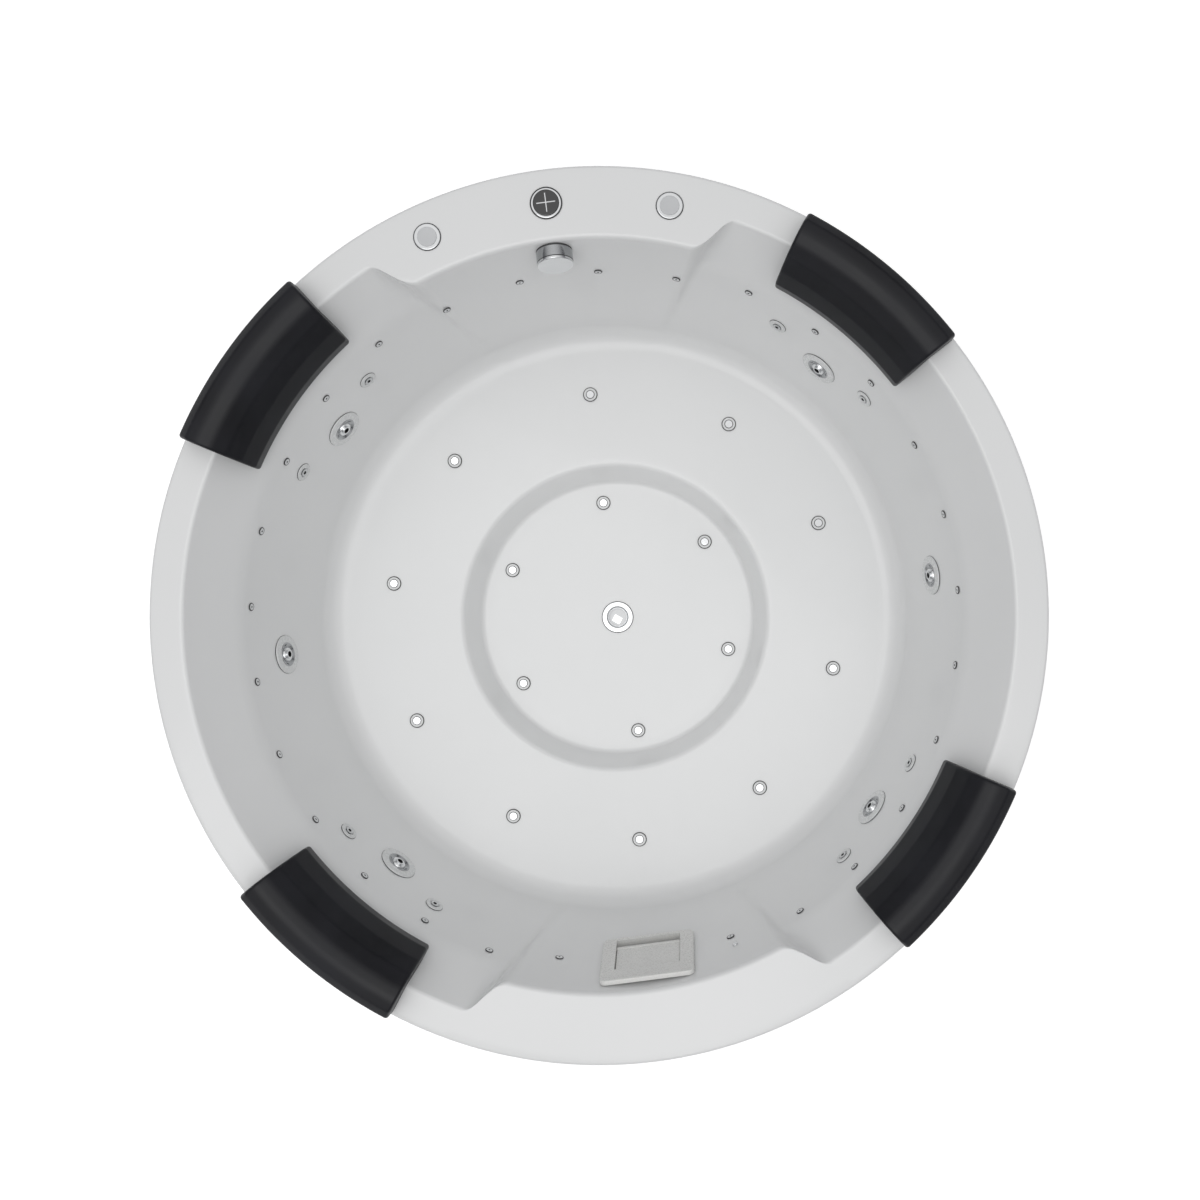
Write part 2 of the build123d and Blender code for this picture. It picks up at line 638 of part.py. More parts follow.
def air_control_knob():
    """Turning knob with a raised four-ray star."""
    disc = rod(KNOB_RADIUS, KNOB_PROUD - KNOB_LENGTH, KNOB_PROUD)
    disc = fillet(disc.faces().sort_by(Axis.Z)[-1].edges(), 2.0)
    ray = Box(KNOB_RAY_SPAN, KNOB_RAY_WIDTH, KNOB_RAY_HEIGHT)
    star = Pos(0, 0, KNOB_PROUD + KNOB_RAY_HEIGHT / 2) * (ray + Rot(0, 0, 90) * ray)
    stem = rod(KNOB_STEM_RADIUS, -KNOB_VALVE_LENGTH + 12, KNOB_PROUD - KNOB_LENGTH)
    return disc + star + stem


def spout():
    """Round hooded spout with a grooved front cap, a slot below and its threaded inlet behind the wall."""
    neck = rod(SPOUT_NECK_RADIUS, SEAT_GAP * 2, SPOUT_NECK_LENGTH)
    hood = rod(SPOUT_RADIUS, SPOUT_NECK_LENGTH, SPOUT_LENGTH)
    hood = fillet(hood.faces().sort_by(Axis.Z)[-1].edges(), SPOUT_ROUND)
    mouth = Pos(0, -SPOUT_RADIUS, SPOUT_MOUTH_PLACE) * Box(
        SPOUT_MOUTH_WIDTH, SPOUT_RADIUS * 1.1, SPOUT_MOUTH_HEIGHT)
    groove = tube(
        SPOUT_RADIUS + 1, SPOUT_RADIUS - SPOUT_GROOVE_DEPTH,
        SPOUT_GROOVE_PLACE, SPOUT_GROOVE_PLACE + SPOUT_GROOVE_WIDTH)
    return SPOUT_PLANE * (neck + hood - groove - mouth + rod(INLET_RADIUS, -INLET_LENGTH, SEAT_GAP * 2))


def skimmer_frame():
    """Rectangular skimmer face with the box behind it, open at the window."""
    plate = extrude(RectangleRounded(SKIMMER_WIDTH, SKIMMER_HEIGHT, SKIMMER_CORNER), SKIMMER_THICK)
    plate = Pos(0, 0, SKIMMER_STAND_OFF) * plate
    plate = fillet(plate.faces().sort_by(Axis.Z)[-1].edges(), SKIMMER_EDGE_ROUND)
    outer = (WINDOW_WIDTH + 2 * SKIMMER_BOX_WALL, WINDOW_HEIGHT + 2 * SKIMMER_BOX_WALL)
    depth = SKIMMER_BOX_DEPTH + SKIMMER_STAND_OFF
    box = Pos(0, WINDOW_OFFSET, SKIMMER_STAND_OFF - depth / 2) * Box(*outer, depth)
    inner = Pos(0, WINDOW_OFFSET, (SKIMMER_THICK + 8 - SKIMMER_BOX_DEPTH + SKIMMER_BOX_WALL) / 2) * Box(
        WINDOW_WIDTH, WINDOW_HEIGHT, SKIMMER_THICK + 8 + SKIMMER_BOX_DEPTH - SKIMMER_BOX_WALL)
    pin = Pos(0, flap_pin_y(), flap_pin_z()) * Rot(0, 90, 0) * rod(
        FLAP_PIN_RADIUS, -WINDOW_WIDTH / 2, WINDOW_WIDTH / 2)
    return SKIMMER_PLANE * (plate + box - inner + pin)


def flap_pin_y():
    """Height of the flap's pin up the wall, from the skimmer's centre."""
    return WINDOW_OFFSET - WINDOW_HEIGHT / 2 + FLAP_BARREL_RADIUS + FLAP_PIN_LIFT


def flap_pin_z():
    """Place of the flap's pin along the wall's normal."""
    return SKIMMER_STAND_OFF + SKIMMER_THICK - FLAP_RECESS


def skimmer_flap():
    """Weir flap that turns on the pin across the window's foot."""
    width = WINDOW_WIDTH - 2 * FLAP_GAP
    barrel = Rot(0, 90, 0) * tube(
        FLAP_BARREL_RADIUS, FLAP_PIN_RADIUS + RUNNING, -width / 2, width / 2)
    plate = Pos(0, FLAP_BARREL_RADIUS + FLAP_HEIGHT / 2 - 1, 0) * Box(width, FLAP_HEIGHT, FLAP_THICK)
    return SKIMMER_PLANE * Pos(0, flap_pin_y(), flap_pin_z()) * (
        barrel + (plate - Rot(0, 90, 0) * rod(FLAP_PIN_RADIUS + RUNNING, -width, width)))


def level_sensor():
    """Water level sensor stud."""
    head = rod(SENSOR_RADIUS, SEAT_GAP / 2, SENSOR_PROUD)
    head = fillet(head.faces().sort_by(Axis.Z)[-1].edges(), 1.5)
    return SENSOR_PLANE * (head + rod(SENSOR_STEM, -SENSOR_STEM_LENGTH, SEAT_GAP))


def drain_body():
    """Drain flange, seat, barrel and the spider that guides the plug."""
    top = WELL_FLOOR_HEIGHT
    bottom = top - DRAIN_LENGTH
    flange = rod(DRAIN_FLANGE_RADIUS, top, top + DRAIN_FLANGE_THICK)
    flange = fillet(flange.faces().sort_by(Axis.Z)[-1].edges(), 1.5)
    body = flange + rod(DRAIN_BARREL_RADIUS, bottom, top)
    seat = top + DRAIN_FLANGE_THICK - DRAIN_RECESS_DEPTH
    lower = DRAIN_RECESS_RADIUS - DRAIN_SEAT_TAPER
    body = body - rod(lower, seat, top + DRAIN_LENGTH) - rod(DRAIN_THROAT_RADIUS, bottom - 1, top)
    recess = Pos(0, 0, top) * Cone(
        lower, DRAIN_RECESS_RADIUS, DRAIN_FLANGE_THICK, align=(Align.CENTER, Align.CENTER, Align.MIN))
    body = body - recess
    spider_top = bottom + DRAIN_SPIDER_HEIGHT
    hub = rod(DRAIN_HUB_RADIUS, bottom, spider_top)
    arm = Box(2 * DRAIN_THROAT_RADIUS + 2, DRAIN_ARM_WIDTH, DRAIN_SPIDER_HEIGHT)
    arms = Pos(0, 0, (bottom + spider_top) / 2) * (arm + Rot(0, 0, 90) * arm)
    return body + (hub + arms) - rod(PLUG_STEM_RADIUS + RUNNING, bottom - 1, spider_top + 1)


def drain_plug():
    """Pop-up plug with a domed top and a guided stem."""
    seat = WELL_FLOOR_HEIGHT + DRAIN_FLANGE_THICK - DRAIN_RECESS_DEPTH + CLEARANCE
    rim = PLUG_RADIUS - PLUG_EDGE_GAP
    shoulder = seat + PLUG_DISC_THICK
    disc = rod(rim, seat, shoulder)
    dome_radius = (rim ** 2 + PLUG_DOME ** 2) / (2 * PLUG_DOME)
    dome = (Pos(0, 0, shoulder + PLUG_DOME - dome_radius) * Sphere(dome_radius)) & rod(
        rim, shoulder - 1, shoulder + 2 * PLUG_DOME)
    return disc + dome + rod(PLUG_STEM_RADIUS, seat - PLUG_STEM_LENGTH, seat)


def waste_pipe():
    """Waste elbow under the drain, ending in a spigot that points at the floor."""
    top = WELL_FLOOR_HEIGHT - DRAIN_LENGTH
    end = polar(WASTE_RUN, WASTE_ANGLE, WASTE_AXIS_HEIGHT)
    outer = rod(WASTE_SOCKET_RADIUS, WASTE_AXIS_HEIGHT - PIPE_RADIUS, top)
    outer += rod_between((0, 0, WASTE_AXIS_HEIGHT), end, WASTE_RADIUS)
    outer += Pos(end) * Sphere(WASTE_RADIUS)
    outer += Pos(end.X, end.Y, 0) * rod(WASTE_RADIUS, WASTE_END_HEIGHT, WASTE_AXIS_HEIGHT)
    shoulder = WASTE_END_HEIGHT + WASTE_SPIGOT_LENGTH
    outer += Pos(end.X, end.Y, shoulder) * Cone(
        WASTE_RADIUS, WASTE_COLLAR_RADIUS, WASTE_COLLAR_TAPER, align=(Align.CENTER, Align.CENTER, Align.MIN))
    outer += Pos(end.X, end.Y, shoulder + WASTE_COLLAR_TAPER) * rod(
        WASTE_COLLAR_RADIUS, 0, WASTE_COLLAR_HEIGHT)
    inner = rod(WASTE_SOCKET_RADIUS - WASTE_SOCKET_WALL, WASTE_AXIS_HEIGHT - WASTE_BORE, top + 1)
    inner += rod_between((0, 0, WASTE_AXIS_HEIGHT), end, WASTE_BORE)
    inner += Pos(end) * Sphere(WASTE_BORE)
    inner += Pos(end.X, end.Y, 0) * rod(WASTE_BORE, WASTE_END_HEIGHT - 1, WASTE_AXIS_HEIGHT)
    return outer - inner


def skirt_panel(centre):
    """Quarter of the round skirt, drilled for its screws."""
    sweep = 90 - degrees(SKIRT_JOINT / SKIRT_RADIUS)
    panel = ring_of_revolution(
        SKIRT_RADIUS - SKIRT_WALL, SKIRT_RADIUS, SKIRT_FOOT, RIM_HEIGHT - SKIRT_TOP_GAP,
        centre - sweep / 2, sweep)
    hole = rod(SCREW_RADIUS + CLEARANCE, -SCREW_LENGTH, SCREW_LENGTH)
    return panel - [screw_plane(centre + turn) * hole for turn in SKIRT_SCREW_ANGLES]


def screw_plane(angle):
    """Plane on the skirt's outer face at a screw; Z points outwards."""
    return Plane(
        origin=polar(SKIRT_RADIUS, angle, FRAME_BASE + TUBE_HEIGHT / 2),
        x_dir=Vector(0, 0, 1), z_dir=polar(1, angle))


def skirt_screws():
    """Dome-headed screws that hold the skirt to the base ring."""
    head = rod(SCREW_HEAD_RADIUS, 0, SCREW_HEAD_THICK)
    head = fillet(head.faces().sort_by(Axis.Z)[-1].edges(), 1.8)
    screw = head + rod(SCREW_RADIUS, -SCREW_LENGTH, 0)
    return [screw_plane(centre + turn) * screw for centre in PANEL_CENTRES for turn in SKIRT_SCREW_ANGLES]


def foot_places():
    """Centres of the levelling feet: a circle of them and one in the middle."""
    return [polar(FOOT_CIRCLE, FOOT_OFFSET + i * 360 / FOOT_COUNT) for i in range(FOOT_COUNT)] + [Vector()]


def base_ring():
    """Welded base ring, drilled for feet and skirt screws."""
    ring = ring_of_revolution(RING_INNER, RING_OUTER, FRAME_BASE, FRAME_TOP)
    stud_hole = rod(STUD_RADIUS + RUNNING, 0, FRAME_BASE + STUD_THREAD)
    holes = [Pos(place) * stud_hole for place in foot_places()]
    holes += [
        screw_plane(centre + turn) * rod(SCREW_RADIUS + RUNNING, -SCREW_LENGTH - 1, 5)
        for centre in PANEL_CENTRES for turn in SKIRT_SCREW_ANGLES
    ]
    return ring - holes


def crossbars():
    """Cross of square tubes under the well and the two bars that carry the equipment."""
    trim = rod(RING_INNER, 0, RIM_HEIGHT)
    middle = FRAME_BASE + TUBE_HEIGHT / 2
    long_bar = Box(2 * RING_INNER, TUBE_WIDTH, TUBE_HEIGHT)
    cross = Pos(0, 0, middle) * (long_bar + Rot(0, 0, 90) * long_bar)
    bars = [
        Pos(0, side * EQUIPMENT_BAR_OFFSET, middle) * long_bar for side in (-1, 1)
    ]
    welded = cross + bars[0] + bars[1]
    return (welded & trim) - rod(STUD_RADIUS + RUNNING, 0, FRAME_BASE + STUD_THREAD)


def uprights():
    """Outer posts from the base ring to the deck and inner posts to the floor board."""
    circle = RING_OUTER - POST_WIDTH / 2 - 2
    deck = RIM_HEIGHT - SHELL_WALL
    board = RIM_HEIGHT - FLOOR_DEPTH - SHELL_WALL - BOARD_THICK
    outer = Box(POST_WIDTH, POST_WIDTH, deck - FRAME_TOP)
    inner = Box(POST_WIDTH, POST_WIDTH, board - FRAME_TOP)
    posts = [
        Rot(0, 0, FOOT_OFFSET + i * 360 / POST_COUNT) * Pos(circle, 0, (deck + FRAME_TOP) / 2) * outer
        for i in range(POST_COUNT)
    ]
    posts += [
        Rot(0, 0, i * 90) * Pos(INNER_POST_CIRCLE, 0, (board + FRAME_TOP) / 2) * inner for i in range(4)
    ]
    return posts


def floor_board():
    """Stiffening board glued under the floor, with room for the air jets."""
    top = RIM_HEIGHT - FLOOR_DEPTH - SHELL_WALL
    board = ring_of_revolution(
        WELL_TOP_RADIUS + SHELL_WALL + BOARD_WELL_GAP, FLOOR_RADIUS - BOARD_MARGIN, top - BOARD_THICK, top)
    return board - [
        Pos(place.X, place.Y, top) * rod(FLOOR_JET_STEM + BOARD_JET_GAP, -BOARD_THICK - 1, 1)
        for place in floor_jet_places()[:len(FLOOR_JET_ANGLES)]
    ]


def foot_parts():
    """Pads, studs and lock nuts of the levelling feet."""
    pad = rod(FOOT_RADIUS, 0, FOOT_PAD_HEIGHT)
    pad = fillet(pad.faces().sort_by(Axis.Z)[-1].edges(), 3.0)
    pad = pad - rod(STUD_RADIUS + RUNNING, FOOT_PAD_HEIGHT - STUD_POCKET, FOOT_PAD_HEIGHT + 1)
    stud = rod(STUD_RADIUS, FOOT_PAD_HEIGHT - STUD_POCKET, FRAME_BASE + STUD_THREAD - 2)
    nut = extrude(RegularPolygon(NUT_RADIUS, 6), NUT_HEIGHT)
    nut = Pos(0, 0, FRAME_BASE - NUT_HEIGHT) * nut - rod(STUD_RADIUS + RUNNING, 0, FRAME_BASE + 1)
    places = foot_places()
    return [[Pos(place) * piece for place in places] for piece in (pad, stud, nut)]


PUMP_AXIS = Plane(
    origin=(VOLUTE_X, EQUIPMENT_BAR_OFFSET, PUMP_CENTRE_HEIGHT), x_dir=(0, 1, 0), z_dir=(1, 0, 0))


def pump_volute():
    """Pump casing; Z = 0 is its inlet face and the motor bolts on at the other end."""
    case = rod(PUMP_RADIUS, 0, VOLUTE_LENGTH)
    case = fillet(case.faces().sort_by(Axis.Z)[0].edges(), 8.0)
    chamber = rod(PUMP_RADIUS - VOLUTE_WALL, VOLUTE_WALL + 4, VOLUTE_LENGTH - VOLUTE_WALL)
    case = case - chamber - rod(PIPE_BORE, -1, VOLUTE_LENGTH / 2)
    case = PUMP_AXIS * (case - rod(SHAFT_RADIUS + RUNNING, 0, VOLUTE_LENGTH + 1))
    outlet = volute_outlet()
    neck = Pos(outlet) * rod(RISER_RADIUS + 4, -VOLUTE_NECK - VOLUTE_WALL / 2, 0)
    return case + neck - Pos(outlet) * rod(RISER_RADIUS - 3, -VOLUTE_NECK - 20, 1)


def pump_motor():
    """Finned pump motor on a foot that stands on the equipment bar."""
    start = VOLUTE_LENGTH
    case = rod(MOTOR_RADIUS, start, start + MOTOR_LENGTH)
    fins = [
        tube(MOTOR_RADIUS + 6, MOTOR_RADIUS - 1, start + 30 + i * 15, start + 34 + i * 15) for i in range(9)
    ]
    case = PUMP_AXIS * (case + fins - rod(SHAFT_RADIUS + RUNNING, start - 1, start + SHAFT_GRIP + 1))
    centre = VOLUTE_X + VOLUTE_LENGTH + MOTOR_LENGTH / 2
    foot = Pos(centre, EQUIPMENT_BAR_OFFSET, (FRAME_TOP + PUMP_CENTRE_HEIGHT) / 2) * Box(
        MOTOR_LENGTH * 0.7, PUMP_FOOT_WIDTH, PUMP_CENTRE_HEIGHT - FRAME_TOP)
    bore = PUMP_AXIS * rod(SHAFT_RADIUS + RUNNING, start - 1, start + SHAFT_GRIP + 1)
    return case + (foot - bore)


def pump_impeller():
    """Impeller with six vanes and its shaft."""
    start = (VOLUTE_LENGTH - IMPELLER_LENGTH) / 2 + 3
    disc = rod(IMPELLER_RADIUS, start + IMPELLER_LENGTH - 4, start + IMPELLER_LENGTH)
    vane = Pos(IMPELLER_RADIUS / 2 + 4, 0, start + IMPELLER_LENGTH / 2) * Box(
        IMPELLER_RADIUS - 12, 3, IMPELLER_LENGTH)
    vanes = [Rot(0, 0, i * 60) * vane for i in range(6)]
    return PUMP_AXIS * (disc + vanes + rod(SHAFT_RADIUS, start, VOLUTE_LENGTH + SHAFT_GRIP))


BLOWER_PLACE = polar(AIR_PIPE_CIRCLE, BLOWER_ANGLE, FRAME_TOP)


def air_blower():
    """Upright air blower; its fan turns on a stub in the floor of the casing."""
    case = rod(BLOWER_RADIUS, 0, BLOWER_HEIGHT)
    case = fillet(case.faces().sort_by(Axis.Z)[-1].edges(), 10.0)
    room = rod(BLOWER_RADIUS - BLOWER_WALL, 12, BLOWER_HEIGHT - BLOWER_WALL * 2)
    outlet = rod(AIR_PIPE_RADIUS - 3, BLOWER_HEIGHT - BLOWER_WALL * 3, BLOWER_HEIGHT + 1)
    stub = rod(FAN_SHAFT_RADIUS, 11, 70)
    return Pos(BLOWER_PLACE) * (case - room - outlet + stub)


def blower_fan():
    """Drum fan with straight blades."""
    low, high = 24, 24 + FAN_HEIGHT
    hub = tube(FAN_SHAFT_RADIUS + 6, FAN_SHAFT_RADIUS + RUNNING, low, high)
    disc = tube(FAN_RADIUS, FAN_SHAFT_RADIUS + RUNNING, low, low + 3)
    blade = Pos(FAN_RADIUS - 6, 0, (low + high) / 2) * Box(12, 2, high - low)
    blades = [Rot(0, 0, i * 20) * blade for i in range(18)]
    return Pos(BLOWER_PLACE) * ((hub + disc + blades) & rod(FAN_RADIUS, 0, BLOWER_HEIGHT))


def control_box():
    """Closed switch box with the gland where the supply cable enters."""
    width, depth, height = CONTROL_BOX_SIZE
    box = Box(width, depth, height)
    box = fillet(box.edges(), 5.0)
    gland = Pos(-width / 2, 0, 0) * Rot(0, -90, 0) * rod(GLAND_RADIUS, -1, GLAND_LENGTH)
    return Pos(CONTROL_BOX_X, -EQUIPMENT_BAR_OFFSET, FRAME_TOP + height / 2) * (box + gland)


def tail_end(plane, length):
    """Radius and height where a fitting's tail ends behind the wall."""
    end = plane.origin - plane.z_dir * length
    return hypot(end.X, end.Y), end.Z


def bent_pipe(points, radius, bend):
    """Round pipe through a list of points with one bend radius."""
    path = FilletPolyline(*points, radius=bend)
    section = Plane(origin=path @ 0, z_dir=path % 0) * Circle(radius)
    return sweep(section, path)


def water_pipes():
    """Pressure pipe round behind the jets, with the pump's riser and a stub up to each back jet."""
    circle, height = tail_end(JET_PLANES[0], JET_TAIL_LENGTH)
    circle += PIPE_RADIUS + PIPE_GAP
    start = 270 + WATER_PIPE_GAP_ANGLE
    pipes = pipe_ring(circle, PIPE_RADIUS, height, start, 360 - 2 * WATER_PIPE_GAP_ANGLE)
    stub_circle, stub_top = tail_end(wall_plane(0, BACK_JET_DEPTH), BACK_JET_LENGTH)
    stub_circle -= BACK_JET_BARREL
    stub_top -= BACK_JET_BARREL + PIPE_GAP
    for angle in BACK_JET_ANGLES:
        pipes += Pos(polar(stub_circle, angle)) * rod(DOWN_PIPE_RADIUS, height + STUB_START, stub_top)
    outlet = volute_outlet()
    join = polar(circle, degrees(atan2(outlet.Y, outlet.X)), height)
    elbow = Vector(outlet.X, outlet.Y, outlet.Z + RISER_RUN)
    return pipes + bent_pipe([outlet, elbow, join], RISER_RADIUS, RISER_BEND)


def volute_outlet():
    """Point on top of the pump casing's neck where the riser stands."""
    return Vector(
        VOLUTE_X + VOLUTE_LENGTH / 2, EQUIPMENT_BAR_OFFSET,
        PUMP_CENTRE_HEIGHT + PUMP_RADIUS + VOLUTE_NECK)


def suction_pipe():
    """Pipe from the skimmer's box round to the pump inlet."""
    circle = hypot(SUCTION_TURN_X, EQUIPMENT_BAR_OFFSET)
    turn = degrees(atan2(EQUIPMENT_BAR_OFFSET, SUCTION_TURN_X))
    steps = SUCTION_STEPS
    route = [polar(circle, 270 + (turn - 270) * i / steps, SUCTION_HEIGHT) for i in range(steps + 1)]
    corner = Vector(SUCTION_TURN_X, EQUIPMENT_BAR_OFFSET, PUMP_CENTRE_HEIGHT)
    inlet = Vector(VOLUTE_X, EQUIPMENT_BAR_OFFSET, PUMP_CENTRE_HEIGHT)
    leg = circle - SUCTION_LEG_INSET
    route[0] = Vector(0, -leg, SUCTION_HEIGHT)
    top = Vector(0, -leg, SKIMMER_PLANE.origin.Z)
    box = SKIMMER_PLANE * Pos(0, WINDOW_OFFSET, -SKIMMER_BOX_DEPTH / 2) * Box(
        WINDOW_WIDTH + 2 * SKIMMER_BOX_WALL, WINDOW_HEIGHT + 2 * SKIMMER_BOX_WALL, SKIMMER_BOX_DEPTH)
    pipe = bent_pipe([top] + route + [corner, inlet], PIPE_RADIUS, SUCTION_BEND)
    return (pipe - box).solids().sort_by(SortBy.VOLUME)[-1]


def air_pipes():
    """Air ring behind the side jets, open at the skimmer, with the blower's riser."""
    plane = wall_plane(0, AIR_DEPTH)
    height = tail_end(plane, AIR_PIPE_CIRCLE - AIR_PIPE_RADIUS - hypot(plane.origin.X, plane.origin.Y))[1]
    start = 270 + AIR_PIPE_GAP_ANGLE
    pipe = pipe_ring(AIR_PIPE_CIRCLE, AIR_PIPE_RADIUS, height, start, 360 - 2 * AIR_PIPE_GAP_ANGLE)
    riser = Pos(BLOWER_PLACE.X, BLOWER_PLACE.Y, 0) * rod(
        AIR_PIPE_RADIUS * 0.8, FRAME_TOP + BLOWER_HEIGHT, height)
    return pipe + riser


def build():
    """Every node by name."""
    nodes = {"tub_shell": tub_shell(), "floor_board": floor_board()}
    for name, centre in (("back", 90), ("left", 180), ("front", 270), ("right", 0)):
        nodes[f"skirt_{name}"] = skirt_panel(centre)
    nodes["skirt_screws"] = group(skirt_screws())
    nodes["frame_base_ring"] = base_ring()
    nodes["frame_crossbars"] = crossbars()
    nodes["frame_uprights"] = group(uprights())
    pads, studs, nuts = foot_parts()
    nodes["foot_pads"] = group(pads)
    nodes["foot_studs"] = group(studs)
    nodes["foot_locknuts"] = group(nuts)
    for number, angle in enumerate(PILLOW_ANGLES, 1):
        nodes[f"pillow_{number}"] = pillow(angle)
    nodes["pillow_studs"] = group([Pos(place) * pillow_stud() for place in pillow_stud_places()])
    for number, plane in enumerate(JET_PLANES, 1):
        nodes[f"jet_{number}_body"] = plane * jet_body()
        nodes[f"jet_{number}_ring"] = plane * jet_ring()
        nodes[f"jet_{number}_nozzle"] = plane * jet_nozzle()
    nodes["back_jets"] = group([plane * back_jet() for plane in back_jet_planes()])
    nodes["side_air_jets"] = group(side_air_jets())
    nodes["floor_air_jets"] = group([Pos(place) * floor_jet() for place in floor_jet_places()])
    nodes["drain_body"] = drain_body()
    nodes["drain_plug"] = drain_plug()
    nodes["waste_pipe"] = waste_pipe()
    nodes["spout"] = spout()
    nodes["button_bezels"] = group([Pos(place) * button_bezel() for place in BUTTON_PLACES])
    nodes["button_cap_left"] = Pos(BUTTON_PLACES[0]) * button_cap()
    nodes["button_cap_right"] = Pos(BUTTON_PLACES[1]) * button_cap()
    nodes["air_control_bezel"] = Pos(KNOB_PLACE) * air_control_bezel()
    nodes["air_control_knob"] = Pos(KNOB_PLACE) * air_control_knob()
    nodes["skimmer_frame"] = skimmer_frame()
    nodes["skimmer_flap"] = skimmer_flap()
    nodes["level_sensor"] = level_sensor()
    nodes["pump_volute"] = pump_volute()
    nodes["pump_motor"] = pump_motor()
    nodes["pump_impeller"] = pump_impeller()
    nodes["air_blower"] = air_blower()
    nodes["blower_fan"] = blower_fan()
    nodes["control_box"] = control_box()
    nodes["water_pipes"] = water_pipes()
    nodes["suction_pipe"] = suction_pipe()
    nodes["air_pipes"] = air_pipes()
    return nodes


os.makedirs("parts", exist_ok=True)
for node, shape in build().items():
    export_step(shape, f"parts/{node}.step")
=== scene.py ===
"""Looks of the round hot tub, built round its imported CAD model. Metres, +Z up."""
import math

import bmesh
import bpy
from mathutils import Matrix, Vector, noise


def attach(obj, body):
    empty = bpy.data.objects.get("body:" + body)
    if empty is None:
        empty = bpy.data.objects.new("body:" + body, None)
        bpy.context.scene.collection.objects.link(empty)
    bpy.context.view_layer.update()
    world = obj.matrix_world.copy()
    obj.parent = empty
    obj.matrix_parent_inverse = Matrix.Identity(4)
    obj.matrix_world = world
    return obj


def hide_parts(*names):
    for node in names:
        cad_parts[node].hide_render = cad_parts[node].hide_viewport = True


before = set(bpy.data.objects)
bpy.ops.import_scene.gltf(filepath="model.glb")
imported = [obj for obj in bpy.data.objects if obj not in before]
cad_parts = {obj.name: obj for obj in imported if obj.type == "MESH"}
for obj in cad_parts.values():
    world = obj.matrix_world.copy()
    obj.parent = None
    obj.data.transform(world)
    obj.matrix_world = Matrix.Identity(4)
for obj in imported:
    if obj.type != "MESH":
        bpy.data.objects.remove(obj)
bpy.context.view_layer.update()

# Sizes of the shell and the places of its fittings. Depths are below the rim, and angles
# are in degrees from +X, anticlockwise from above.
MM = 0.001
RIM = 700 * MM
RIM_RADIUS = 899.7 * MM
SHELL_WALL = 8 * MM
EDGE_WALL = 6.5 * MM
CENTRE_RADIUS = 6 * MM
LIP_DROP = 60 * MM
EDGE_ROUND = 7 * MM
SEAT_LIP = 832 * MM
WIDE_LIP = 755 * MM
SHOULDER = (752 * MM, 115 * MM)
FLOOR_RADIUS = 656 * MM
FLOOR_DEPTH = 460 * MM
WELL_TOP = 350 * MM
WELL_FLOOR = 318 * MM
WELL_DEPTH = 540 * MM
LIP_ROUND = 12 * MM
SHOULDER_ROUND = 120 * MM
FLOOR_ROUND = 55 * MM
WELL_TOP_ROUND = 14 * MM
WELL_FLOOR_ROUND = 13 * MM
WIDE_IN = 22.3
WIDE_OUT = 25.6
NOTCH_SOFT = 26 * MM
NOTCH_SPAN = 12.0
NOTCH_COLUMNS = 4.2
FINE_STEP = 0.25
WIDE_STEP = 1.0
FLAT_CORNER = 30 * MM

JET_ANGLES = (0.0, 42.5, 137.4, 179.4, 222.2, 316.7)
JET_DEPTH = 272 * MM
BACK_JET_ANGLES = (33.0, 52.3, 128.1, 147.3, 212.4, 231.7, 307.3, 326.8)
BACK_JET_DEPTH = 222 * MM
AIR_JET_ANGLES = (
    9.4, 21.6, 33.9, 46.2, 58.7, 70.7, 83.8, 97.0, 110.0, 122.4, 134.7, 146.8, 158.8, 171.2,
    183.4, 195.7, 207.8, 219.9, 232.1, 243.6, 255.1, 284.1, 296.2, 307.6, 319.8, 332.2, 344.7,
    356.9,
)
AIR_JET_DEPTH = 150 * MM
FLOOR_JET_ANGLES = (17.5, 52.2, 89.1, 128.5, 164.1, 200.3, 235.6, 268.9, 302.9, 339.4)
FLOOR_JET_CIRCLE = 515 * MM
WELL_JET_ANGLES = (33.6, 89.8, 148.6, 207.8, 273.0, 336.6)
WELL_JET_CIRCLE = 271 * MM
CONTROL_CIRCLE = 830 * MM
CONTROL_ANGLE = 90.0
CONTROL_SPACING = 17.1
SPOUT_DEPTH = 44 * MM
SKIMMER_ANGLE = 270.0
SKIMMER_DEPTH = 132 * MM
WINDOW_WIDTH = 136 * MM
WINDOW_HEIGHT = 142 * MM
WINDOW_OFFSET = -18 * MM
WINDOW_CLEARANCE = 4.3 * MM
SENSOR_ANGLE = 284.6
SENSOR_DEPTH = 104 * MM

PILLOW_ANGLES = (42.8, 137.4, 223.0, 317.8)
PILLOW_SPAN = 24.4
PILLOW_STUD_CIRCLE = 868 * MM
PILLOW_STUD_OFFSET = 8.0
SOCKET_RADIUS = 5.2 * MM
SOCKET_REACH = (-5 * MM, 21 * MM)

# Radii of the holes that the fittings stand in
JET_HOLE = 29.3 * MM
BACK_JET_HOLE = 12.3 * MM
SMALL_HOLE = 4.3 * MM
FLOOR_JET_HOLE = 9.3 * MM
BUTTON_HOLE = 23.3 * MM
KNOB_HOLE = 28.8 * MM
DRAIN_HOLE = 24.3 * MM
SPOUT_HOLE = 10.8 * MM
STUD_HOLE = 4.1 * MM
HOLE_REACH = 60 * MM

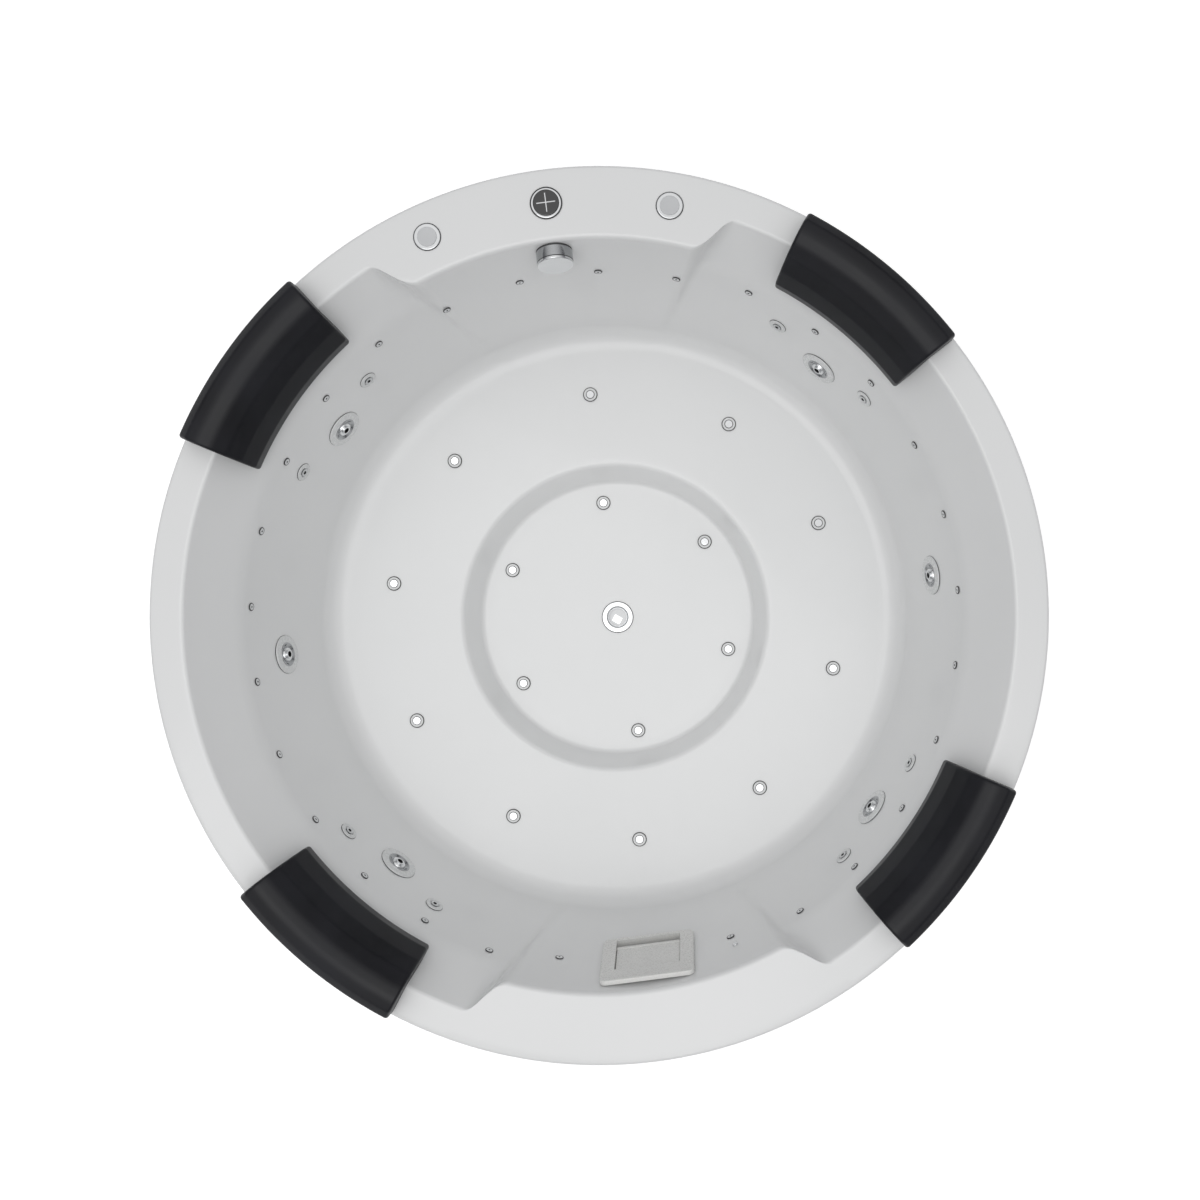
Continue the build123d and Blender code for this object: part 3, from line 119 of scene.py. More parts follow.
# Seals, drawn as dark rings that paint the shadow line round the fittings: radius of the ring's
# middle line, and half its thickness
JET_SEAL = (41.6 * MM, 1.0 * MM)
BACK_JET_SEAL = (19.0 * MM, 0.8 * MM)
AIR_JET_SEAL = (7.4 * MM, 1.2 * MM)
FLOOR_JET_SEAL = (15.3 * MM, 1.3 * MM)
BUTTON_SEAL = (27.1 * MM, 0.9 * MM)
KNOB_SEAL = (31.2 * MM, 1.4 * MM)
DRAIN_SEAL = (36.2 * MM, 0.9 * MM)
SPOUT_SEAL = (34.5 * MM, 2.3 * MM)
LARGE_SEAL = 20 * MM
LARGE_SEAL_STEPS = 48
SMALL_SEAL_STEPS = 28
SEAL_SIDES = 8

# Radii and heights where a fitting's second material begins or ends
PAINT_REACH = 40 * MM
JET_BORE = 6.6 * MM
BACK_JET_FACE = 10.5 * MM
BACK_JET_BORE = 4.1 * MM
FLOOR_JET_CAP = 8.4 * MM
FLOOR_JET_GROOVE = 9.9 * MM
STAR_FOOT = RIM + 6.2 * MM
SPOUT_SIDE_RADIUS = 36 * MM
SPOUT_SIDE_END = 27 * MM
SPOUT_GROOVE_RADIUS = 30 * MM
SPOUT_GROOVE = (26.4 * MM, 28.6 * MM)
SPOUT_NECK = 5.1 * MM


def polar(radius, angle, height=0.0):
    """Point at a radius and an angle in degrees about the tub's axis."""
    turn = math.radians(angle)
    return Vector((radius * math.cos(turn), radius * math.sin(turn), height))


def axis_angle(angle):
    """Degrees from the nearer of the +Y and -Y directions."""
    return min(abs((angle - centre + 180) % 360 - 180) for centre in (90, 270))


def in_wide_zone(angle):
    """True where the wall stands under a wide deck section."""
    return axis_angle(angle) < WIDE_IN


def wall_frame(angle, depth, wide):
    """Matrix of a place on the inner wall: Z into the bath, X along the wall, Y up it."""
    upper_radius, upper_depth = (WIDE_LIP, 0.0) if wide else SHOULDER
    run = upper_radius - FLOOR_RADIUS
    rise = FLOOR_DEPTH - upper_depth
    radius = FLOOR_RADIUS + run * (FLOOR_DEPTH - depth) / rise
    lean = math.atan2(run, rise)
    normal = polar(-math.cos(lean), angle) + Vector((0, 0, math.sin(lean)))
    turn = math.radians(angle)
    along = Vector((math.sin(turn), -math.cos(turn), 0))
    up = normal.cross(along)
    matrix = Matrix((along, up, normal)).transposed().to_4x4()
    matrix.translation = polar(radius, angle, RIM - depth)
    return matrix


def place(point):
    """Matrix that stands upright at a point."""
    return Matrix.Translation(point)


# Places of the fittings
jet_places = [wall_frame(angle, JET_DEPTH, False) for angle in JET_ANGLES]
back_places = [wall_frame(angle, BACK_JET_DEPTH, False) for angle in BACK_JET_ANGLES]
air_places = [wall_frame(angle, AIR_JET_DEPTH, in_wide_zone(angle)) for angle in AIR_JET_ANGLES]
floor_places = [
    place(polar(FLOOR_JET_CIRCLE, angle, RIM - FLOOR_DEPTH)) for angle in FLOOR_JET_ANGLES
]
floor_places += [
    place(polar(WELL_JET_CIRCLE, angle, RIM - WELL_DEPTH)) for angle in WELL_JET_ANGLES
]
button_places = [
    place(polar(CONTROL_CIRCLE, CONTROL_ANGLE + side * CONTROL_SPACING, RIM)) for side in (1, -1)
]
knob_place = place(polar(CONTROL_CIRCLE, CONTROL_ANGLE, RIM))
drain_place = place((0, 0, RIM - WELL_DEPTH))
spout_place = wall_frame(CONTROL_ANGLE, SPOUT_DEPTH, True)
skimmer_place = wall_frame(SKIMMER_ANGLE, SKIMMER_DEPTH, True)
sensor_place = wall_frame(SENSOR_ANGLE, SENSOR_DEPTH, True)


def stud_places(angle):
    """Places of the two studs under the pillow at an angle."""
    return [
        place(polar(PILLOW_STUD_CIRCLE, angle + side * PILLOW_STUD_OFFSET, RIM)) for side in (-1, 1)
    ]


# Materials


def new_material(name):
    """Material with its node tree and shader."""
    material = bpy.data.materials.new(name)
    material.use_nodes = True
    shader = material.node_tree.nodes["Principled BSDF"]
    return material, material.node_tree, shader


def add_node(tree, kind, **values):
    """Node of a kind with its properties set."""
    node = tree.nodes.new(kind)
    for key, value in values.items():
        setattr(node, key, value)
    return node


def object_noise(tree, scale, detail=3.0, stretch=(1, 1, 1)):
    """Noise in the piece's own coordinates."""
    where = tree.nodes.new("ShaderNodeTexCoord")
    mapping = tree.nodes.new("ShaderNodeMapping")
    mapping.inputs["Scale"].default_value = stretch
    tree.links.new(where.outputs["Object"], mapping.inputs["Vector"])
    texture = tree.nodes.new("ShaderNodeTexNoise")
    texture.inputs["Scale"].default_value = scale
    texture.inputs["Detail"].default_value = detail
    tree.links.new(mapping.outputs["Vector"], texture.inputs["Vector"])
    return texture


def ramp(tree, source, low, high, start=0.3, end=0.7):
    """Colour ramp between two colours over part of a texture's range."""
    node = tree.nodes.new("ShaderNodeValToRGB")
    node.color_ramp.elements[0].position = start
    node.color_ramp.elements[1].position = end
    node.color_ramp.elements[0].color = (*low, 1)
    node.color_ramp.elements[1].color = (*high, 1)
    tree.links.new(source, node.inputs["Fac"])
    return node


def vary_roughness(tree, shader, source, low, high):
    """Roughness between two values over a texture."""
    node = tree.nodes.new("ShaderNodeMapRange")
    node.inputs["From Min"].default_value = 0.3
    node.inputs["From Max"].default_value = 0.7
    node.inputs["To Min"].default_value = low
    node.inputs["To Max"].default_value = high
    tree.links.new(source, node.inputs["Value"])
    tree.links.new(node.outputs["Result"], shader.inputs["Roughness"])


def add_bump(tree, shader, source, distance, strength=1.0, before=None):
    """Bump of a real height from a texture."""
    node = tree.nodes.new("ShaderNodeBump")
    node.inputs["Strength"].default_value = strength
    node.inputs["Distance"].default_value = distance
    tree.links.new(source, node.inputs["Height"])
    if before is not None:
        tree.links.new(before.outputs["Normal"], node.inputs["Normal"])
    tree.links.new(node.outputs["Normal"], shader.inputs["Normal"])
    return node


def plain_finish(name, low, high, rough, grain, height, metal=0.0, coat=0.0):
    """Moulded, painted or metal finish: slight colour drift, uneven gloss and a fine surface."""
    material, tree, shader = new_material(name)
    drift = object_noise(tree, 6.0, 4.0)
    colours = ramp(tree, drift.outputs["Fac"], low, high)
    tree.links.new(colours.outputs["Color"], shader.inputs["Base Color"])
    fine = object_noise(tree, grain, 5.0)
    vary_roughness(tree, shader, fine.outputs["Fac"], *rough)
    add_bump(tree, shader, fine.outputs["Fac"], height)
    shader.inputs["Metallic"].default_value = metal
    shader.inputs["Coat Weight"].default_value = coat
    shader.inputs["Coat Roughness"].default_value = 0.08
    return material


def acrylic(name, low, high):
    """Glossy sanitary acrylic with a faint orange peel and light use marks."""
    material, tree, shader = new_material(name)
    drift = object_noise(tree, 2.2, 3.0)
    colours = ramp(tree, drift.outputs["Fac"], low, high)
    tree.links.new(colours.outputs["Color"], shader.inputs["Base Color"])
    use = object_noise(tree, 38.0, 6.0)
    vary_roughness(tree, shader, use.outputs["Fac"], 0.19, 0.25)
    peel = object_noise(tree, 170.0, 2.0)
    add_bump(tree, shader, peel.outputs["Fac"], 0.00006)
    shader.inputs["IOR"].default_value = 1.49
    shader.inputs["Coat Weight"].default_value = 0.35
    shader.inputs["Coat Roughness"].default_value = 0.1
    return material


def soft_skin(name):
    """Integral-skin polyurethane with a fine leather grain and a satin sheen."""
    material, tree, shader = new_material(name)
    drift = object_noise(tree, 9.0, 4.0)
    colours = ramp(tree, drift.outputs["Fac"], (0.004, 0.0042, 0.0065), (0.009, 0.0095, 0.0135))
    tree.links.new(colours.outputs["Color"], shader.inputs["Base Color"])
    vary_roughness(tree, shader, drift.outputs["Fac"], 0.36, 0.46)
    where = tree.nodes.new("ShaderNodeTexCoord")
    cells = tree.nodes.new("ShaderNodeTexVoronoi")
    cells.feature = "DISTANCE_TO_EDGE"
    cells.inputs["Scale"].default_value = 520.0
    tree.links.new(where.outputs["Object"], cells.inputs["Vector"])
    grain = add_bump(tree, shader, cells.outputs["Distance"], 0.00012, 0.55)
    wrinkle = object_noise(tree, 60.0, 5.0)
    add_bump(tree, shader, wrinkle.outputs["Fac"], 0.00035, 0.5, before=grain)
    shader.inputs["Specular IOR Level"].default_value = 0.36
    return material


def ply_board(name):
    """Raw plywood: long grain with darker streaks."""
    material, tree, shader = new_material(name)
    grain = object_noise(tree, 14.0, 8.0, (1, 14, 14))
    colours = ramp(tree, grain.outputs["Fac"], (0.36, 0.24, 0.13), (0.62, 0.46, 0.29), 0.35, 0.65)
    tree.links.new(colours.outputs["Color"], shader.inputs["Base Color"])
    vary_roughness(tree, shader, grain.outputs["Fac"], 0.6, 0.8)
    add_bump(tree, shader, grain.outputs["Fac"], 0.0003)
    return material


ACRYLIC = acrylic("acrylic_white", (0.815, 0.822, 0.822), (0.84, 0.845, 0.845))
SKIRT = acrylic("skirt_white", (0.74, 0.75, 0.75), (0.78, 0.785, 0.785))
CHROME = plain_finish(
    "chrome", (0.7, 0.71, 0.72), (0.8, 0.81, 0.82), (0.05, 0.11), 240.0, 0.00001, metal=1.0)
SATIN = plain_finish(
    "jet_chrome", (0.6, 0.61, 0.62), (0.7, 0.71, 0.71), (0.16, 0.26), 300.0, 0.00002, metal=1.0)
# Darker metal: the jet rings' finish, and a shaded copy of the chrome painted on the spout's round
# side
BEZEL_METAL_AND_SHADE = plain_finish(
    "jet_bezel_and_spout_shade", (0.4, 0.41, 0.42), (0.48, 0.49, 0.5), (0.12, 0.2), 300.0, 0.00001, metal=1.0)
STEEL = plain_finish(
    "frame_steel", (0.3, 0.31, 0.32), (0.42, 0.43, 0.44), (0.35, 0.55), 90.0, 0.0001, metal=0.6)
ZINC = plain_finish(
    "zinc_steel", (0.5, 0.49, 0.45), (0.66, 0.66, 0.63), (0.22, 0.38), 160.0, 0.00005, metal=1.0)
JET_GREY = plain_finish(
    "jet_plastic", (0.7, 0.71, 0.71), (0.76, 0.77, 0.77), (0.2, 0.32), 200.0, 0.00002, coat=0.3)
SKIMMER = plain_finish(
    "skimmer_plastic", (0.735, 0.735, 0.715), (0.79, 0.79, 0.77), (0.24, 0.32), 300.0, 0.00001,
    coat=0.2)
CAP_GREY = plain_finish(
    "button_grey", (0.6, 0.61, 0.62), (0.66, 0.67, 0.68), (0.28, 0.38), 180.0, 0.00003)
KNOB = plain_finish(
    "knob_black", (0.008, 0.008, 0.009), (0.018, 0.018, 0.02), (0.04, 0.09), 200.0, 0.00001,
    coat=1.0)
# Near-black paint inside the jet bores: painted shade in the holes
BORE_SHADE = plain_finish(
    "jet_bore_shade", (0.012, 0.012, 0.013), (0.02, 0.02, 0.021), (0.3, 0.45), 260.0, 0.00003)
# Near-black rubber that paints shade: the shadow line round the fittings, and the dark grooves on
# the spout and floor jets
SEAL_SHADE = plain_finish(
    "seal_rubber_shade", (0.03, 0.03, 0.032), (0.05, 0.05, 0.052), (0.45, 0.6), 400.0, 0.00002)
RUBBER = plain_finish(
    "foot_rubber", (0.025, 0.025, 0.026), (0.05, 0.05, 0.05), (0.6, 0.8), 220.0, 0.0001)
BLACK = plain_finish(
    "black_plastic", (0.015, 0.015, 0.016), (0.03, 0.03, 0.032), (0.35, 0.5), 260.0, 0.00006)
PVC = plain_finish(
    "pipe_pvc", (0.66, 0.66, 0.63), (0.76, 0.76, 0.73), (0.3, 0.45), 80.0, 0.00008)
MOTOR = plain_finish(
    "motor_grey", (0.05, 0.06, 0.07), (0.1, 0.11, 0.125), (0.3, 0.45), 150.0, 0.00015)
BLOWER = plain_finish(
    "blower_plastic", (0.06, 0.06, 0.065), (0.1, 0.1, 0.105), (0.4, 0.55), 190.0, 0.0001)
PU = soft_skin("pillow_pu")
BOARD = ply_board("board")

NODE_MATERIALS = {
    "tub_shell": ACRYLIC, "floor_board": BOARD, "skirt_back": SKIRT, "skirt_left": SKIRT,
    "skirt_front": SKIRT, "skirt_right": SKIRT, "skirt_screws": ZINC, "frame_base_ring": STEEL,
    "frame_crossbars": STEEL, "frame_uprights": STEEL, "foot_pads": RUBBER, "foot_studs": ZINC,
    "foot_locknuts": ZINC, "pillow_studs": BLACK, "back_jets": SATIN, "side_air_jets": SATIN,
    "floor_air_jets": JET_GREY, "drain_body": CHROME, "drain_plug": CHROME, "waste_pipe": PVC,
    "spout": CHROME, "button_bezels": CHROME, "button_cap_left": CAP_GREY,
    "button_cap_right": CAP_GREY, "air_control_bezel": CHROME, "air_control_knob": KNOB,
    "skimmer_frame": SKIMMER, "skimmer_flap": SKIMMER, "level_sensor": CHROME, "pump_volute": BLACK,
    "pump_motor": MOTOR, "pump_impeller": BLACK, "air_blower": BLOWER, "blower_fan": BLACK,
    "control_box": BLOWER, "water_pipes": PVC, "suction_pipe": PVC, "air_pipes": PVC,
}
for number in range(1, 7):
    NODE_MATERIALS[f"jet_{number}_body"] = JET_GREY
    NODE_MATERIALS[f"jet_{number}_ring"] = BEZEL_METAL_AND_SHADE
    NODE_MATERIALS[f"jet_{number}_nozzle"] = CHROME
for number in range(1, 5):
    NODE_MATERIALS[f"pillow_{number}"] = PU

for name, material in NODE_MATERIALS.items():
    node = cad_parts[name]
    if not node.material_slots:
        node.data.materials.append(material)
    for held in node.material_slots:
        held.material = material


def paint(node_name, material, chosen):
    """A second material on the faces of a node whose centres are chosen."""
    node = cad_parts[node_name]
    node.data.materials.append(material)
    for face in node.data.polygons:
        if chosen(node.matrix_world @ face.center):
            face.material_index = len(node.data.materials) - 1


def near_axis(places, radius, inner=0.0):
    """Test for points between two radii from the Z axis of any of the places."""
    inverses = [where.inverted() for where in places]

    def chosen(point):
        for inverse in inverses:
            local = inverse @ point
            if inner <= local.xy.length < radius and abs(local.z) < PAINT_REACH:
                return True
        return False

    return chosen


on_back_jet_face = near_axis(back_places, BACK_JET_FACE)
spout_inverse = spout_place.inverted()


def on_spout_shaded_side(point):
    """True on the round side of the spout's hood, which gets a darker metal as painted shade."""
    local = spout_inverse @ point
    return local.xy.length > SPOUT_SIDE_RADIUS and local.z < SPOUT_SIDE_END


def in_spout_groove(point):
    """True in the groove behind the spout's front cap, and on its neck, where dark paint stands in
    for their shade.
    """
    local = spout_inverse @ point
    low, high = SPOUT_GROOVE
    groove = local.xy.length > SPOUT_GROOVE_RADIUS and low < local.z < high
    return groove or (0 < local.z < SPOUT_NECK)


for number, where in enumerate(jet_places, 1):
    # Painted shade: the walls of each nozzle's bore are painted near-black
    paint(f"jet_{number}_nozzle", BORE_SHADE, near_axis([where], JET_BORE))
paint("back_jets", JET_GREY, lambda point: not on_back_jet_face(point))
# Painted shade: the bores of the back jets are painted near-black
paint("back_jets", BORE_SHADE, near_axis(back_places, BACK_JET_BORE))
paint("air_control_knob", CHROME, lambda point: point.z > STAR_FOOT)
# Painted shade: the spout's round side gets the darker metal, so it shows darker than the chrome
# front
paint("spout", BEZEL_METAL_AND_SHADE, on_spout_shaded_side)
# Painted shade: the groove behind the front cap and the neck are painted near-black
paint("spout", SEAL_SHADE, in_spout_groove)
paint("floor_air_jets", CHROME, near_axis(floor_places, FLOOR_JET_CAP))
# Painted shade: a dark ring in the groove between each floor jet's cap and body
paint("floor_air_jets", SEAL_SHADE, near_axis(floor_places, FLOOR_JET_GROOVE, FLOOR_JET_CAP))


# Mesh helpers


def rounded(points, radii, steps, closed=False):
    """A 2-D line with its corners rounded by arcs."""
    count = len(points)
    line = []
    for i, (point, radius) in enumerate(zip(points, radii)):
        if radius <= 0 or (not closed and i in (0, count - 1)):
            line.append(Vector(point))
            continue
        corner = Vector(point)
        before = Vector(points[i - 1]) - corner
        after = Vector(points[(i + 1) % count]) - corner
        opening = before.angle(after)
        trim = min(radius / math.tan(opening / 2), before.length * 0.49, after.length * 0.49)
        arc_radius = trim * math.tan(opening / 2)
        middle = (before.normalized() + after.normalized()).normalized()
        centre = corner + middle * (arc_radius / math.sin(opening / 2))
        start = corner + before.normalized() * trim - centre
        end = corner + after.normalized() * trim - centre
        turn = start.angle_signed(end)
        for k in range(steps + 1):
            share = -turn * k / steps
            cos_t, sin_t = math.cos(share), math.sin(share)
            across = start.x * cos_t - start.y * sin_t
            up = start.x * sin_t + start.y * cos_t
            line.append(centre + Vector((across, up)))
    return line


def spread(points, step):
    """Extra points on the long runs of a line."""
    line = [points[0]]
    for first, second in zip(points, points[1:]):
        count = max(1, round((second - first).length / step))
        line += [first.lerp(second, k / count) for k in range(1, count + 1)]
    return line


def make_object(name, verts, faces, material, smooth_angle=35.0):
    """Mesh object with outward normals and smooth shading up to an angle."""
    mesh = bpy.data.meshes.new(name)
    mesh.from_pydata([tuple(v) for v in verts], [], faces)
    work = bmesh.new()
    work.from_mesh(mesh)
    bmesh.ops.remove_doubles(work, verts=work.verts, dist=1e-7)
    bmesh.ops.recalc_face_normals(work, faces=work.faces)
    work.to_mesh(mesh)
    work.free()
    mesh.materials.append(material)
    piece = bpy.data.objects.new(name, mesh)
    bpy.context.scene.collection.objects.link(piece)
    mesh.shade_smooth()
    mesh.set_sharp_from_angle(angle=math.radians(smooth_angle))
    return piece


def bake_modifiers(piece, smooth_angle=35.0):
    """The piece's mesh with its modifiers applied."""
    graph = bpy.context.evaluated_depsgraph_get()
    mesh = bpy.data.meshes.new_from_object(piece.evaluated_get(graph))
    piece.modifiers.clear()
    piece.data = mesh
    mesh.shade_smooth()
    mesh.set_sharp_from_angle(angle=math.radians(smooth_angle))


def cut(piece, cutters):
    """Takes closed cutter shapes, given as (matrix, outline, low, high), out of a piece."""
    verts, faces = [], []
    for matrix, outline, low, high in cutters:
        base = len(verts)
        count = len(outline)
        verts += [matrix @ Vector((x, y, low)) for x, y in outline]
        verts += [matrix @ Vector((x, y, high)) for x, y in outline]
        faces.append([base + i for i in reversed(range(count))])
        faces.append([base + count + i for i in range(count)])
        faces += [
            [base + i, base + (i + 1) % count, base + count + (i + 1) % count, base + count + i]
            for i in range(count)
        ]
    tool = make_object(piece.name + "_cutter", verts, faces, piece.data.materials[0])
    modifier = piece.modifiers.new("cut", "BOOLEAN")
    modifier.operation = "DIFFERENCE"
    modifier.solver = "MANIFOLD"
    modifier.object = tool
    bake_modifiers(piece)
    bpy.data.objects.remove(tool)


def circle(radius, count=32):
    """Round outline."""
    return [
        (radius * math.cos(2 * math.pi * i / count), radius * math.sin(2 * math.pi * i / count))
        for i in range(count)
    ]


def rectangle(width, height, centre_y=0.0):
    """Rectangular outline."""
    return [
        (-width / 2, centre_y - height / 2), (width / 2, centre_y - height / 2),
        (width / 2, centre_y + height / 2), (-width / 2, centre_y + height / 2),
    ]


# Tub shell: one formed sheet, soft at every edge


def shell_profile(wide):
    """Visible line of the shell from the turned-down edge to the centre, as (radius, height)."""
    lip, (knee, knee_depth) = SEAT_LIP, SHOULDER
    if wide:
        lip = WIDE_LIP
        knee = WIDE_LIP - (WIDE_LIP - FLOOR_RADIUS) * knee_depth / FLOOR_DEPTH
    outline = [
        (RIM_RADIUS, RIM - LIP_DROP), (RIM_RADIUS, RIM), (lip, RIM), (knee, RIM - knee_depth),
        (FLOOR_RADIUS, RIM - FLOOR_DEPTH), (WELL_TOP, RIM - FLOOR_DEPTH),
        (WELL_FLOOR, RIM - WELL_DEPTH), (CENTRE_RADIUS, RIM - WELL_DEPTH),
    ]
    return [Vector(p) for p in outline]


PROFILE_ROUNDS = (
    EDGE_ROUND, LIP_ROUND, SHOULDER_ROUND, FLOOR_ROUND, WELL_TOP_ROUND, WELL_FLOOR_ROUND)
PROFILE_ARC_STEPS = (5, 7, 10, 10, 7, 7)
PROFILE_RUN_STEPS = (3, 8, 3, 14, 18, 6, 16)


def sampled_profile(wide):
    """The shell's line with the same number of points in either section."""
    outline = shell_profile(wide)
    arcs = []
    for i, (radius, steps) in enumerate(zip(PROFILE_ROUNDS, PROFILE_ARC_STEPS), 1):
        triple = [outline[i - 1], outline[i], outline[i + 1]]
        if abs((triple[0] - triple[1]).angle(triple[2] - triple[1]) - math.pi) < 1e-3:
            ahead = (triple[2] - triple[1]).normalized() * FLAT_CORNER
            back = (triple[0] - triple[1]).normalized() * FLAT_CORNER
            arc = [triple[1] + back.lerp(ahead, k / steps) for k in range(steps + 1)]
        else:
            arc = rounded(triple, (0, radius, 0), steps)[1:-1]
        arcs.append(arc)
    line = []
    stops = [[outline[0]]] + arcs + [[outline[-1]]]
    for previous, following, steps in zip(stops, stops[1:], PROFILE_RUN_STEPS):
        line += [previous[-1].lerp(following[0], k / steps) for k in range(1, steps)]
        line += following
    return [outline[0]] + line


def soft_max(a, b, blend):
    """The larger of two lengths with a round transition."""
    near = max(blend - abs(a - b), 0.0) / blend
    return max(a, b) + near * near * blend / 4


def notch_radius(off_axis):
    """Radius of the slanted end face of a wide section at an angle from its middle."""
    first = polar(WIDE_LIP, WIDE_IN)
    second = polar(SEAT_LIP, WIDE_OUT)
    run = second - first
    if off_axis > WIDE_OUT + NOTCH_SPAN:
        return 10 * RIM_RADIUS
    ray = polar(1, off_axis)
    return (first.x * run.y - first.y * run.x) / (ray.x * run.y - ray.y * run.x)


def shell_angles():
    """Angles of the shell's columns, close together at the ends of the wide sections."""
    angles = []
    angle = 0.0
    while angle < 360 - 1e-6:
        angles.append(angle)
        near = abs(axis_angle(angle) - (WIDE_IN + WIDE_OUT) / 2)
        angle += FINE_STEP if near < NOTCH_COLUMNS else WIDE_STEP
    return angles


def make_shell():
    """The formed sheet with its underside, as one closed mesh."""
    seat = sampled_profile(False)
    wide = sampled_profile(True)
    count = len(seat)
    verts = []
    angles = shell_angles()
    for angle in angles:
        edge = notch_radius(axis_angle(angle))
        line = []
        for s, w in zip(seat, wide):
            gap = s.x - w.x
            if gap < 1e-5:
                line.append(s.copy())
                continue
            blend = min(NOTCH_SOFT, gap * 0.9)
            held = -soft_max(-soft_max(edge, w.x, blend), -s.x, blend)
            line.append(w.lerp(s, min(1.0, max(0.0, (held - w.x) / gap))))
        under = []
        for i, point in enumerate(line):
            ahead = line[min(i + 1, count - 1)] - line[max(i - 1, 0)]
            normal = Vector((-ahead.y, ahead.x)).normalized()
            wall = SHELL_WALL if point.x < RIM_RADIUS - EDGE_ROUND - 1e-4 else EDGE_WALL
            under.append(point + normal * wall)
        under[0].y = line[0].y
        under[-1] = Vector((line[-1].x, line[-1].y - SHELL_WALL))
        verts += [polar(p.x, angle, p.y) for p in line + under]
    columns = len(angles)
    faces = []
    for c in range(columns):
        a, b = c * 2 * count, ((c + 1) % columns) * 2 * count
        for i in range(count - 1):
            faces.append((a + i, a + i + 1, b + i + 1, b + i))
            faces.append((a + count + i, b + count + i, b + count + i + 1, a + count + i + 1))
        faces.append((a, b, b + count, a + count))
    faces.append([c * 2 * count + count - 1 for c in range(columns)])
    faces.append([c * 2 * count + 2 * count - 1 for c in reversed(range(columns))])
    return make_object("tub_shell_formed", verts, faces, ACRYLIC, 50.0)


def shell_cutters():
    """Every opening in the shell."""
    deep, half = HOLE_REACH, HOLE_REACH / 2
    cutters = [(where, circle(JET_HOLE, 48), -deep, deep) for where in jet_places]
    cutters += [(where, circle(BACK_JET_HOLE), -deep, deep) for where in back_places]
    cutters += [(where, circle(SMALL_HOLE, 16), -deep, deep) for where in air_places]
    cutters += [(where, circle(FLOOR_JET_HOLE, 24), -half, half) for where in floor_places]
    cutters += [(where, circle(BUTTON_HOLE, 40), -half, half) for where in button_places]
    cutters.append((knob_place, circle(KNOB_HOLE, 40), -half, half))
    cutters.append((drain_place, circle(DRAIN_HOLE, 48), -half, half))
    cutters.append((spout_place, circle(SPOUT_HOLE, 32), -deep, deep / 4))
    cutters.append((sensor_place, circle(SMALL_HOLE, 16), -deep, deep))
    for angle in PILLOW_ANGLES:
        cutters += [(where, circle(STUD_HOLE, 16), -half, half) for where in stud_places(angle)]
    window = rectangle(
        WINDOW_WIDTH + 2 * WINDOW_CLEARANCE, WINDOW_HEIGHT + 2 * WINDOW_CLEARANCE, WINDOW_OFFSET)
    cutters.append((skimmer_place, window, -deep, deep))
    return cutters


shell = make_shell()
cut(shell, shell_cutters())
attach(shell, "tub")
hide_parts("tub_shell")


# Seals: dark rings that paint the thin shadow line round every fitting


def seal_shade_mesh(places):
    """Dark rubber rings at the foot of the fittings that paint the shadow line round them, given as
    (matrix, (radius, half thickness)).
    """
    verts, faces = [], []
    across = SEAL_SIDES
    for matrix, (radius, thickness) in places:
        around = LARGE_SEAL_STEPS if radius > LARGE_SEAL else SMALL_SEAL_STEPS
        base = len(verts)
        for i in range(around):
            turn = 2 * math.pi * i / around
            for j in range(across):
                roll = 2 * math.pi * j / across
                height = thickness * (1 + math.sin(roll))
                reach = radius + thickness * math.cos(roll)
                ring = Vector((math.cos(turn), math.sin(turn), 0)) * reach
                verts.append(matrix @ (ring + Vector((0, 0, height))))
        for i in range(around):
            for j in range(across):
                a, b = i * across, ((i + 1) % around) * across
                k = (j + 1) % across
                faces.append((base + a + j, base + b + j, base + b + k, base + a + k))
    return make_object("rubber_shade_rings", verts, faces, SEAL_SHADE)


seal_shade_places = [(where, JET_SEAL) for where in jet_places]
seal_shade_places += [(where, BACK_JET_SEAL) for where in back_places]
seal_shade_places += [(where, AIR_JET_SEAL) for where in air_places]
seal_shade_places += [(where, FLOOR_JET_SEAL) for where in floor_places]
seal_shade_places += [(where, BUTTON_SEAL) for where in button_places]
seal_shade_places += [(knob_place, KNOB_SEAL), (drain_place, DRAIN_SEAL), (spout_place, SPOUT_SEAL)]
# Dark rings that paint the shadow line at the foot of each fitting
seal_shade_rings = seal_shade_mesh(seal_shade_places)
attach(seal_shade_rings, "tub")


# Head pillows: soft moulded foam that hooks over the deck's edge


# Corners of the section: radius, height above the rim and rounding, in millimetres
PILLOW_SECTION = (
    (896, 0.6, 3), (896, 46, 7), (877, 60, 22), (852, 65.6, 40), (826, 57, 40), (800, 35, 40),
    (776, 2, 40), (757.5, -34, 12), (756.3, -67.4, 8), (784.6, -67.4, 5), (829.6, -2.0, 4),
    (833, 0.6, 3),
)
PILLOW_END_ROUND = 7 * MM
PILLOW_MEAN_RADIUS = 850 * MM
PILLOW_STEP = 6 * MM
PILLOW_COLUMNS = 34
SKIN_START = 8 * MM
SKIN_WAVE = 0.9 * MM
SKIN_SCALE = 22
END_STEPS = [math.radians(15 * k) for k in range(7)]


def inset(loop, amount):
    """A closed loop drawn in by an even amount."""
    drawn = []
    count = len(loop)
    for i, point in enumerate(loop):
        along = loop[(i + 1) % count] - loop[i - 1]
        normal = Vector((-along.y, along.x)).normalized()
        drawn.append(point + normal * amount)
    return drawn


